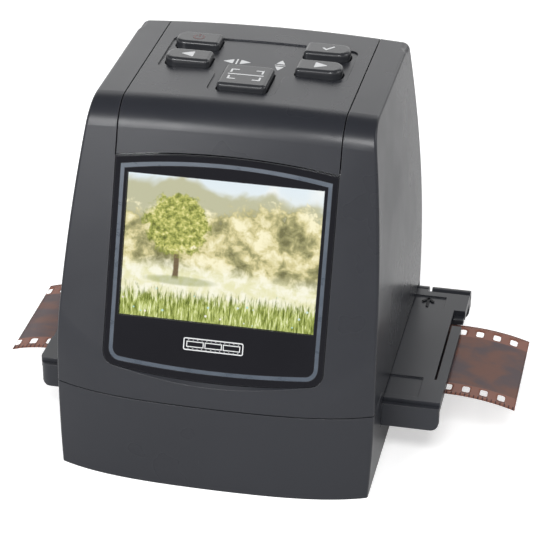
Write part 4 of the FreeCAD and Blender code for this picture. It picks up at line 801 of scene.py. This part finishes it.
def picture_material():
    """The lit picture: pale sky, far hills, a sunny wood, a lone round tree, a glade and tall grass.

    Height in the picture, bent by slow waves and clouds of noise, picks the layer from the sky down.
    Places are shares of the picture's width and height, from its lower left corner.
    """
    paint = Finish("display_picture")
    flat, across, up = paint.flat()
    mixed, ramped, minus, times = paint.mixed, paint.ramped, paint.minus, paint.times
    aspect = 1.35
    tree_x, crown_y, trunk_foot = 0.27, 0.67, 0.27

    def cloud(wide, tall, shift, scale, detail=3.0, roughness=0.5, distortion=0.3):
        place = paint.place(flat, scale=(wide, tall, 1.0), start=(shift, shift, 0.0))
        return paint.noise(scale, detail, roughness, place, distortion)

    def layer(scene, tone, level, soft, swing, turns, shift, rough, amount):
        """Lays a tone below a hill line: the line is a slow sine with a rough crest."""
        wave = paint.sums("SINE", paint.sums("MULTIPLY_ADD", across, turns, shift))
        line = paint.shaken(paint.sums("MULTIPLY_ADD", wave, swing, level), rough, amount)
        return mixed(ramped(minus(up, line), soft, -soft), scene, tone)

    def squares(x, y):
        return paint.sums("MULTIPLY_ADD", x, x, times(y, y))

    slow = cloud(aspect, 1.0, 0.0, 3.6)
    leaf = cloud(aspect, 1.0, 3.7, 13.0, 3.0, 0.62)
    fine = cloud(aspect, 1.0, 8.3, 34.0, 3.0, 0.6)
    sky = mixed(ramped(up, 0.62, 1.0), (0.98, 0.94, 0.78), (0.80, 0.88, 0.93))
    sky = mixed(ramped(slow, 0.45, 0.65, 0.0, 0.7), sky, (1.0, 0.99, 0.95))
    wood = paint.stepped(paint.blended(0.45, leaf, slow), WOOD_TONES)
    glade = mixed(ramped(leaf, 0.35, 0.65), (0.86, 0.83, 0.52), (1.0, 0.97, 0.80))
    scene = layer(sky, (0.56, 0.55, 0.37), level=0.93, soft=0.04, swing=0.05, turns=4.2, shift=0.6,
                  rough=slow, amount=0.34)
    scene = layer(scene, wood, level=0.78, soft=0.045, swing=0.07, turns=5.6, shift=3.3, rough=leaf,
                  amount=0.40)
    scene = layer(scene, glade, level=0.36, soft=0.06, swing=0.03, turns=4.4, shift=0.4, rough=leaf,
                  amount=0.10)

    bark = (0.19, 0.135, 0.075)
    trunk = ramped(paint.far_from(paint.shaken(across, slow, 0.05), tree_x), 0.020, 0.011)
    trunk = times(trunk, ramped(up, trunk_foot, trunk_foot + 0.04))
    trunk = times(trunk, ramped(up, crown_y - 0.01, crown_y - 0.11))
    scene = mixed(trunk, scene, bark)
    reach = paint.sums("SQRT", squares(times(minus(across, tree_x), 1.3), minus(up, crown_y)))
    leaves = paint.stepped(paint.blended(0.55, fine, leaf), CROWN_TONES)
    scene = mixed(ramped(paint.shaken(reach, leaf, 0.22), 0.235, 0.195), scene, leaves)
    shadow = squares(times(minus(across, tree_x + 0.03), 0.55), times(minus(up, 0.275), 3.0))
    scene = mixed(ramped(shadow, 0.014, 0.004, 0.0, 0.55), scene, (0.30, 0.34, 0.10))

    blades = cloud(34.0, 5.0, 0.4, 2.2, 4.0, 0.62, 0.5)
    thin = cloud(80.0, 7.0, 2.4, 2.0, 3.0, 0.6, 0.4)
    grass = paint.stepped(paint.blended(0.4, thin, blades), GRASS_TONES)
    tips = paint.shaken(up, blades, 0.30)
    scene = mixed(ramped(tips, 0.22, 0.12), scene, grass)
    spots = paint.add("TexVoronoi", {"Vector": paint.place(flat, scale=(aspect, 1.0, 1.0)), "Scale": 19.0,
                                     "Randomness": 0.9}).outputs
    tint = paint.add("SeparateColor", {"Color": spots["Color"]}).outputs[0]
    field = times(ramped(tips, 0.26, 0.18), paint.sums("GREATER_THAN", tint, 0.30))
    petals = times(times(ramped(spots["Distance"], 0.20, 0.12), field), 0.9)
    scene = mixed(petals, scene, paint.stepped(tint, FLOWER_TONES))
    return paint.fill((0.0, 0.0, 0.0), 0.6, Specular_IOR_Level=0.0, Emission_Color=scene,
                      Emission_Strength=scanner().display.glow)


class SCANNER_OT_display(bpy.types.Operator):
    """Finishes the display's frame, line, pane and panel, and lights its picture"""
    bl_idname = "film_scanner.display"
    bl_label = "Display"

    def execute(self, context):
        finish_nodes(gloss_black("frame_gloss_dressed"), "display_frame")
        finish_nodes(painted_line("line_paint_dressed"), "display_line")
        finish_nodes(clear_pane("pane_clear_dressed"), "window_pane")
        finish_nodes(panel_glass("lcd_glass_dressed"), "lcd_panel")
        wide = (high("window_pane") - low("window_pane"))[0]
        slope = window_plane()[-1]
        flat, faces = grid_shape(np.linspace(0, 1, PICTURE_COLUMNS), np.linspace(0, 1, PICTURE_ROWS))
        x, y = (flat[:, 0] - 0.5) * wide, (flat[:, 1] - 0.5) * slope
        points = on_window(x, y, scanner().display.pane_thick + PICTURE_GAP)
        new_piece("display_picture", points, faces, picture_material(), "housing", "lcd_glass", uv=flat)
        return {"FINISHED"}


# Casing, keys, holder and inner parts

class SCANNER_OT_casing(bpy.types.Operator):
    """Gives the shells, covers, feet and screws their finish"""
    bl_idname = "film_scanner.casing"
    bl_label = "Casing"

    def execute(self, context):
        look = scanner().casing
        tone, gloss = look.shell, look.gloss
        finish_nodes(moulded_plastic("housing_plastic_dressed", tone, gloss), "base_housing", "upper_shell")
        finish_nodes(moulded_plastic("cover_plastic_dressed", tone, gloss - 0.02, relief=0.8), "top_cover")
        finish_nodes(moulded_plastic("rear_plastic_dressed", tone, gloss + 0.06, grain=1.4, relief=2.0),
                     "rear_cover")
        finish_nodes(moulded_plastic("base_plate_plastic_dressed", tone, gloss + 0.12, grain=1.6,
                                     relief=3.0), "base_plate")
        finish_nodes(rubber("foot_rubber_dressed"), "rubber_feet")
        finish_nodes(metal("screw_steel_dressed", (0.13, 0.13, 0.135), 0.38, (1.0, 6.0, 1.0)),
                     "base_screws", "rear_screws", "key_board_screws")
        return {"FINISHED"}


class SCANNER_OT_keys(bpy.types.Operator):
    """Gives the five key caps their finish"""
    bl_idname = "film_scanner.keys"
    bl_label = "Keys"

    def execute(self, context):
        look = scanner().casing
        cap = moulded_plastic("key_plastic_dressed", look.keys, look.gloss - 0.06, grain=0.7, relief=0.6,
                              edge=0.6, specular=0.4)
        finish_nodes(cap, "power_key", "ok_key", "left_key", "right_key", "scan_key")
        return {"FINISHED"}


class SCANNER_OT_holder(bpy.types.Operator):
    """Gives the film holder and its hinge pin their finish"""
    bl_idname = "film_scanner.holder"
    bl_label = "Film holder"

    def execute(self, context):
        look = scanner().casing
        finish_nodes(moulded_plastic("holder_plastic_dressed", look.holder, look.gloss + 0.02, edge=0.8),
                     "holder_base", "holder_lid")
        finish_nodes(metal("pin_steel_dressed", (0.55, 0.55, 0.57), 0.25, (0.1, 6.0, 6.0)), "hinge_pin")
        return {"FINISHED"}


class SCANNER_OT_inner_parts(bpy.types.Operator):
    """Gives the boards, lamp, optics, sockets and guides inside their finish"""
    bl_idname = "film_scanner.inner_parts"
    bl_label = "Inner parts"

    def execute(self, context):
        finish_nodes(circuit_board("board_green_dressed"), "key_board", "main_board", "sensor_board",
                     "led_board")
        finish_nodes(chip_package("chip_black_dressed"), "board_chips", "image_sensor")
        finish_nodes(moulded_plastic("optic_plastic_dressed", (0.012, 0.012, 0.013), 0.62, relief=2.0,
                                     specular=0.25, edge_highlight_share=0.2), "lens_tower", "lens_mount", "lens_barrel")
        finish_nodes(moulded_plastic("guide_plastic_dressed", (0.075, 0.076, 0.080), 0.5),
                     "board_spacers", "guide_lower", "guide_upper")
        finish_nodes(moulded_plastic("tray_white_dressed", (0.72, 0.72, 0.70), 0.45, edge_highlight_share=0.3), "light_box")
        finish_nodes(moulded_plastic("jack_plastic_dressed", (0.014, 0.014, 0.015), 0.38),
                     "key_switches", "tv_out_jack")
        finish_nodes(metal("socket_steel_dressed", (0.58, 0.58, 0.59), 0.24, (1.0, 0.1, 1.0)),
                     "usb_socket", "card_socket")
        finish_nodes(metal("bracket_steel_dressed", (0.52, 0.53, 0.54), 0.36, (0.3, 4.0, 4.0)),
                     "lcd_bracket")
        finish_nodes(opal_diffuser("diffuser_white_dressed"), "light_diffuser")
        finish_nodes(phosphor("led_yellow_dressed"), "leds")
        finish_nodes(lens_glass("lens_clear_dressed"), "lens_glass")
        finish_nodes(amber_flex("flex_film_dressed"), "lcd_flex")
        return {"FINISHED"}


# Contacts in the rear sockets

SOCKETS = (  # node, its tongue's share of the width, the tongue's rise as a share of the height, contacts
    ("usb_socket", 0.56, 0.56, 5),
    ("card_socket", 0.86, 0.26, 9),
)
TONGUE_THICK, TONGUE_ROUND, TONGUE_START = 0.13, 0.3, 0.12  # shares of the height, thickness and depth
TONGUE_BACK = 0.9 * MM  # from the socket's mouth to the tongue's tip
CONTACT_SPAN, CONTACT_GAP = 0.92, 0.5  # shares of the tongue's width, and of a contact's own place
CONTACT_BACK, CONTACT_THICK, CONTACT_ROUND = 0.4 * MM, 0.1 * MM, 0.04 * MM
BAR_SIDE_STEPS = 6


def bar(start, end, corner):
    """A closed bar with rounded long edges between two corners of its box, its length along x.

    The rounded end shape is carried along x, and each end closes onto its middle point.
    """
    start, end = np.asarray(start), np.asarray(end)
    ring = rounded_ring(square_ring(BAR_SIDE_STEPS, BAR_SIDE_STEPS), (end - start)[1:] / 2, corner)
    count = len(ring)
    centre = ((start + end) / 2)[1:]
    walls = np.column_stack([np.repeat([start[0], end[0]], count), np.tile(ring + centre, (2, 1))])
    middles = np.array([[start[0], *centre], [end[0], *centre]])
    faces = [grid_faces(2, count, closed=True), cap_faces(0, count, 2 * count)[:, ::-1],
             cap_faces(count, count, 2 * count + 1)]
    return np.concatenate([walls, middles]), np.concatenate(faces)


def row_of_bars(box_low, box_high, count, gap_share, corner):
    """Like bars side by side along x: each takes its share of the box's length, with gaps between."""
    edges = np.linspace(box_low[0], box_high[0], count + 1)
    gap = (edges[1] - edges[0]) * gap_share / 2
    return joined_shapes([bar((start + gap, *box_low[1:]), (end - gap, *box_high[1:]), corner)
                          for start, end in zip(edges[:-1], edges[1:])])


class SCANNER_OT_contacts(bpy.types.Operator):
    """Fits the plastic tongues and gold contacts inside the two rear sockets"""
    bl_idname = "film_scanner.contacts"
    bl_label = "Socket contacts"

    def execute(self, context):
        black = frame["nodes"]["tv_out_jack"].material_slots[0].material
        gold = gold_plate("contact_gold")
        for node, wide_share, rise, count in SOCKETS:
            start, span, x = low(node), high(node) - low(node), middle(node)[0]
            half, thick = span[0] * wide_share / 2, span[2] * TONGUE_THICK
            level = start[2] + span[2] * rise
            inner, tip = start[1] + span[1] * TONGUE_START, high(node)[1] - TONGUE_BACK
            tongue = bar((x - half, inner, level), (x + half, tip, level + thick), thick * TONGUE_ROUND)
            new_piece(node + "_tongue", *tongue, black, "housing", "jack_plastic")
            half *= CONTACT_SPAN
            contacts = row_of_bars((x - half, inner, level - CONTACT_THICK),
                                   (x + half, tip - CONTACT_BACK, level), count, CONTACT_GAP, CONTACT_ROUND)
            new_piece(node + "_contacts", *contacts, gold, "housing", "socket_steel")
        return {"FINISHED"}


# Printed marks

ARC_POINTS, CORNER_POINTS, DOT_POINTS = 28, 6, 10
FILL_RINGS = (1.0, 0.66, 0.33)  # shares of the outline's size
SHARPEST = 0.5  # least share of the stroke's half width that a mitred corner is worked out from
KEY_ROW_SHIFT = 2.0 * MM  # from the left key's middle to the row of the two swap marks
MIRROR_MARK_X, FLIP_MARK_X = -4.9 * MM, 6.3 * MM
DROP_HEIGHT = 2.0 * MM  # above the cover, from where a mark drops onto its curve
FILM_MARK_TALL, FILM_MARK_BELOW = 2.9 * MM, 23.4 * MM  # its height, and its place below the window's middle
DOTS = 12
ARROW_TALL, ARROW_STROKE, ARROW_THICK = 4.4 * MM, 0.7 * MM, 0.25 * MM
ARROW_PLACE = (44.6 * MM, 31.4 * MM)
ARROW_SEAT = 0.39 * MM  # below the lid's highest point


def stroke(path, width, closed=False):
    """A ribbon along a path: each point is moved half a width to both sides of its direction.

    The direction at a point is the mean of its two neighbours' runs, and the move is lengthened at a
    corner so that the ribbon keeps its width.
    """
    path = np.asarray(path, dtype=float)
    back, ahead = np.roll(path, 1, axis=0), np.roll(path, -1, axis=0)
    if not closed:
        back[0] = 2 * path[0] - path[1]
        ahead[-1] = 2 * path[-1] - path[-2]
    into = (path - back) / np.linalg.norm(path - back, axis=1, keepdims=True)
    away = (ahead - path) / np.linalg.norm(ahead - path, axis=1, keepdims=True)
    way = (into + away) / np.linalg.norm(into + away, axis=1, keepdims=True)
    side = np.stack([-way[:, 1], way[:, 0]], axis=1)
    mitre = np.clip(np.sum(way * into, axis=1, keepdims=True), SHARPEST, 1)
    half = side / mitre * width / 2
    return np.concatenate([path + half, path - half]), grid_faces(2, len(path), closed=closed)[:, ::-1]


def filled(outline):
    """A filled shape: rings of the outline shrunk towards its middle, the last closed onto it."""
    count, centre = len(outline), outline.mean(axis=0)
    points = (centre + (outline - centre) * np.array(FILL_RINGS)[:, None, None]).reshape(-1, 2)
    faces = [grid_faces(len(FILL_RINGS), count, closed=True),
             cap_faces(len(points) - count, count, len(points))]
    return np.concatenate([points, [centre]]), np.concatenate(faces)


def arc(centre, radius, start, end, count=ARC_POINTS):
    """Points along an arc, from angles in degrees."""
    turn = np.radians(np.linspace(start, end, count))
    return np.asarray(centre) + radius * np.stack([np.cos(turn), np.sin(turn)], axis=1)


def rounded_triangle(tall, way):
    """A play-style triangle that points left or right, its corners eased by short arcs."""
    corner = tall * 0.08
    corners = np.array([(tall * 0.62, 0.0), (-tall * 0.42, tall * 0.5), (-tall * 0.42, -tall * 0.5)])
    inner = corners * (1 - 2.2 * corner / tall)
    outline = np.concatenate([arc(point, corner, start, start + 120, CORNER_POINTS)
                              for point, start in zip(inner, (-60, 60, 180))])
    outline[:, 0] *= way
    return outline if way > 0 else outline[::-1]


def power_symbol(tall, width):
    """A ring open at the top, with a short bar in the gap."""
    ring = arc((0, 0), tall * 0.42, 122, 418)
    return joined_shapes([stroke(ring, width), stroke([(0, tall * 0.08), (0, tall * 0.56)], width)])


def tick_symbol(tall, width):
    """A tick."""
    return stroke([(-tall * 0.42, 0.0), (-tall * 0.10, -tall * 0.34), (tall * 0.48, tall * 0.36)], width)


def scan_symbol(tall, width):
    """Four corners of a picture frame with a scanning line across them."""
    wide, half, reach = tall * 1.35, tall * 0.95, tall * 0.62
    shapes = []
    for x in (-1, 1):
        for y in (-1, 1):
            corner = np.array([x * wide, y * half])
            shapes.append(stroke([corner - (x * reach, 0), corner, corner - (0, y * reach)], width))
    shapes.append(stroke([(-wide * 1.15, 0), (wide * 1.15, 0)], width))
    return joined_shapes(shapes)


def mirror_symbol(tall, width):
    """Two triangles that point away from a line between them: left and right swapped."""
    triangles = [filled(rounded_triangle(tall, way) + (way * tall * 0.78, 0)) for way in (-1, 1)]
    return joined_shapes([*triangles, stroke([(0, -tall * 0.62), (0, tall * 0.62)], width)])


def flip_symbol(tall, width):
    """The same mark turned a quarter: top and bottom swapped."""
    points, faces = mirror_symbol(tall, width)
    return np.stack([-points[:, 1], points[:, 0]], axis=1), faces


def up_arrow(tall, width):
    """An arrow that points to the rear: a shaft and a head of two strokes."""
    shaft = stroke([(0, -tall / 2), (0, tall / 2)], width)
    head = stroke([(-tall * 0.34, tall * 0.12), (0, tall / 2), (tall * 0.34, tall * 0.12)], width)
    return joined_shapes([shaft, head])


def film_symbol(wide, tall, width):
    """A short printed film strip: an outline, three picture windows and a row of dots above and below."""
    half, side, corner = wide / 2, tall / 2, tall * 0.14
    outline = np.concatenate([arc((x * (half - corner), y * (side - corner)), corner, start, start + 90,
                                  CORNER_POINTS)
                              for x, y, start in ((1, 1, 0), (-1, 1, 90), (-1, -1, 180), (1, -1, 270))])
    window = np.array([(-1, -1), (1, -1), (1, 1), (-1, 1)]) * (wide / 3.6 / 2, side * 0.45)
    shapes = [stroke(outline, width, closed=True)]
    shapes += [stroke(window + (place * wide * 0.31, 0), width * 0.8, closed=True) for place in (-1, 0, 1)]
    for i in range(DOTS):
        x = (i - (DOTS - 1) / 2) * wide * 0.92 / DOTS
        shapes += [filled(arc((x, y), width * 0.42, 0, 330, DOT_POINTS))
                   for y in (-side * 0.74, side * 0.74)]
    return joined_shapes(shapes)


def print_on_top(name, shape, centre, level, material, body, slot="key_plastic"):
    """Lays a printed shape flat at a height, facing up."""
    points, faces = shape
    flat = np.column_stack([points + np.asarray(centre), np.full(len(points), level)])
    return new_piece(name, flat, faces, material, body, slot)


def settle(item, node, rise):
    """Drops a printed piece straight down onto a CAD node's surface, and keeps the result as its mesh."""
    drop = item.modifiers.new("Settle", "SHRINKWRAP")
    drop.target = frame["nodes"][node]
    drop.wrap_method = "PROJECT"
    drop.use_project_z = True
    drop.use_negative_direction = True
    drop.use_positive_direction = False
    drop.offset = rise
    seen = item.evaluated_get(bpy.context.evaluated_depsgraph_get())
    settled = bpy.data.meshes.new_from_object(seen)
    item.modifiers.clear()
    item.data = settled


class SCANNER_OT_marks(bpy.types.Operator):
    """Prints the generic symbols on the keys, the cover and the display's frame"""
    bl_idname = "film_scanner.marks"
    bl_label = "Printed marks"

    def execute(self, context):
        look, display = scanner().marks, scanner().display
        white = printed_ink("print_white_dressed", display.print_white)
        red = printed_ink("print_red_dressed", display.print_red)
        black = frame["nodes"]["display_frame"].material_slots[0].material
        tall, width = look.height, look.stroke
        for node, shape, ink in (("power_key", power_symbol(tall, width), red),
                                 ("ok_key", tick_symbol(tall, width * 1.15), white),
                                 ("left_key", filled(rounded_triangle(tall, -1)), white),
                                 ("right_key", filled(rounded_triangle(tall, 1)), white),
                                 ("scan_key", scan_symbol(tall * 0.95, width), white)):
            print_on_top(node + "_mark", shape, middle(node)[:2], high(node)[2] + look.ink, ink,
                         node + "_body")
        row, above = middle("left_key")[1] + KEY_ROW_SHIFT, high("top_cover")[2] + DROP_HEIGHT
        for name, shape, x in (("mirror_mark", mirror_symbol(tall * 0.82, width * 0.8), MIRROR_MARK_X),
                               ("flip_mark", flip_symbol(tall * 0.72, width * 0.8), FLIP_MARK_X)):
            settle(print_on_top(name, shape, (x, row), above, white, "housing"), "top_cover", look.ink)
        points, faces = film_symbol(look.film_icon, FILM_MARK_TALL, width * 0.5)
        placed = on_window(points[:, 0], points[:, 1] - FILM_MARK_BELOW, -look.ink)
        new_piece("film_strip_mark", placed, faces, white, "housing", "frame_gloss")
        arrow = print_on_top("holder_arrow", up_arrow(ARROW_TALL, ARROW_STROKE), ARROW_PLACE,
                             high("holder_lid")[2] - ARROW_SEAT, black, "holder_cover", "holder_plastic")
        thicken(arrow, "Raised", ARROW_THICK, 1.0)
        return {"FINISHED"}


# Studio

LAMPS = (  # name, place, the point that it faces, its width and height in metres, and its watts
    ("soft_box_left", (-0.31, -0.56, 0.40), (0.0, 0.0, 0.07), (0.36, 0.22), 4.0),
    ("soft_box_front", (0.11, -0.45, 0.47), (0.0, 0.0, 0.09), (0.20, 0.11), 2.2),
    ("soft_box_rear", (-0.05, 0.42, 0.31), (0.0, 0.0, 0.09), (0.70, 0.34), 1.06),
    ("soft_box_right", (0.80, 0.05, 0.50), (0.0, 0.0, 0.05), (0.45, 0.45), 2.1),
)
FLOOR_REACH, FLOOR_LEVEL, FLOOR_LINES = 3.0, -0.05 * MM, 9
FLOOR_NEAR, FLOOR_FAR = 0.35, 1.3  # where the floor's white starts to grow, and where it is full
GLOSSY_SHARE = 0.30  # how much of the floor's white the gloss of the object shows
CEILING_START, CEILING_FULL = 0.10, 0.50  # upward parts of the direction
SENSOR_WIDTH, VIEW_END = 36.0, 20.0


class SCANNER_OT_stage(bpy.types.Operator):
    """Builds the pale floor, the sky, the soft lamps and the camera"""
    bl_idname = "film_scanner.stage"
    bl_label = "Studio"

    def execute(self, context):
        self.floor()
        self.sky()
        self.lamps()
        self.camera(context.scene)
        context.scene.view_settings.view_transform = "Standard"
        return {"FINISHED"}

    def floor(self):
        """A wide flat floor with a true shadow, under a white for the camera and a dim share of it for gloss.

        The white grows with the distance from the object, so that the far floor meets the sky.
        """
        studio = scanner().studio
        line = np.linspace(-FLOOR_REACH, FLOOR_REACH, FLOOR_LINES)
        flat, faces = grid_shape(line, line)
        mesh = bpy.data.meshes.new("studio_floor")
        mesh.from_pydata(np.column_stack([flat, np.full(len(flat), FLOOR_LEVEL)]), [], faces.tolist())
        paint = Finish("studio_floor_paper")
        rays = paint.add("LightPath").outputs
        seen = paint.larger(rays["Is Camera Ray"], rays["Is Transmission Ray"])
        seen = paint.larger(seen, paint.times(rays["Is Glossy Ray"], GLOSSY_SHARE))
        away = paint.add("VectorMath", {0: paint.place()}, operation="LENGTH").outputs["Value"]
        white = paint.ramped(away, FLOOR_NEAR, FLOOR_FAR, studio.floor_white, 1.0)
        glow = paint.add("Emission", {"Strength": paint.times(seen, white)})
        paint.show("AddShader", paint.surface.outputs[0], glow.outputs[0])
        paper = paint.mixed(paint.noise(900.0, 3.0), shade(studio.floor, 0.99), studio.floor)
        mesh.materials.append(paint.fill(paper, 0.9, Specular_IOR_Level=0.1))
        add_object("studio_floor", mesh)

    def sky(self):
        """White behind the object for the camera, gloss and glass, a dim ceiling, and an even grey light.

        The ceiling's share grows with the upward part of the direction, from just above the horizon.
        """
        studio = scanner().studio
        world = bpy.data.worlds.new("studio_sky")
        paint = Nodes(world)
        rays = paint.add("LightPath").outputs
        upward = paint.add("SeparateXYZ", {"Vector": paint.add("TexCoord").outputs["Object"]}).outputs[2]
        room = paint.ramped(upward, CEILING_START, CEILING_FULL, 1.0, studio.ceiling)
        glossy = paint.larger(rays["Is Glossy Ray"], rays["Is Transmission Ray"])
        even = paint.plus(studio.sky, paint.times(glossy, paint.minus(room, studio.sky)))
        light = paint.add("Background", {"Color": (1.0, 1.0, 1.0),
                                         "Strength": paint.larger(even, rays["Is Camera Ray"])})
        paint.add("OutputWorld", {0: light.outputs[0]})
        bpy.context.scene.world = world

    def lamps(self):
        """Soft boxes: one at the left, a high one in front, a wide one behind, and a far one on the right."""
        for name, place, aim, size, power in LAMPS:
            data = bpy.data.lights.new(name, "AREA")
            data.shape = "RECTANGLE"
            data.size, data.size_y = size
            data.energy = power
            item = add_object(name, data)
            item.location = place
            item.rotation_euler = (Vector(aim) - Vector(place)).to_track_quat("-Z", "Y").to_euler()
            item.visible_camera = False

    def camera(self, scene):
        """The camera of the photograph, from its place and two directions."""
        studio = scanner().studio
        data = bpy.data.cameras.new("photo_camera")
        data.lens = studio.lens
        data.sensor_width = SENSOR_WIDTH
        data.clip_end = VIEW_END
        item = add_object("photo_camera", data)
        back = -Vector(studio.view).normalized()
        right = Vector(studio.up).cross(back).normalized()
        turn = Matrix((right, back.cross(right), back)).transposed().to_4x4()
        item.matrix_world = Matrix.Translation(studio.place) @ turn
        scene.camera = item


class SCANNER_PT_panel(bpy.types.Panel):
    """Lists the steps that dress the scanner"""
    bl_idname = "SCANNER_PT_panel"
    bl_label = "Film scanner"
    bl_space_type = "VIEW_3D"
    bl_region_type = "UI"
    bl_category = "Film scanner"

    def draw(self, context):
        for step in STEPS:
            self.layout.operator(step.bl_idname)
        for name in ("casing", "display", "film", "marks", "studio"):
            group = getattr(context.scene.film_scanner, name)
            box = self.layout.box()
            for key in group.__annotations__:
                box.prop(group, key)


GROUPS = (CasingFinish, DisplayFinish, FilmShape, MarkShape, StudioSettings, ScannerSettings)
STEPS = (SCANNER_OT_stage, SCANNER_OT_casing, SCANNER_OT_keys, SCANNER_OT_holder,
         SCANNER_OT_inner_parts, SCANNER_OT_contacts, SCANNER_OT_display, SCANNER_OT_film, SCANNER_OT_marks)
CLASSES = GROUPS + STEPS + (SCANNER_PT_panel,)


def register():
    for item in CLASSES:
        bpy.utils.register_class(item)
    bpy.types.Scene.film_scanner = PointerProperty(type=ScannerSettings, name="Film scanner",
                                                   description="Sizes and colours of the scanner")


def unregister():
    del bpy.types.Scene.film_scanner
    for item in reversed(CLASSES):
        bpy.utils.unregister_class(item)


def main():
    """Registers the add-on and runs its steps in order."""
    register()
    for step in STEPS:
        family, name = step.bl_idname.split(".")
        getattr(getattr(bpy.ops, family), name)()


if __name__ == "__main__":
    main()
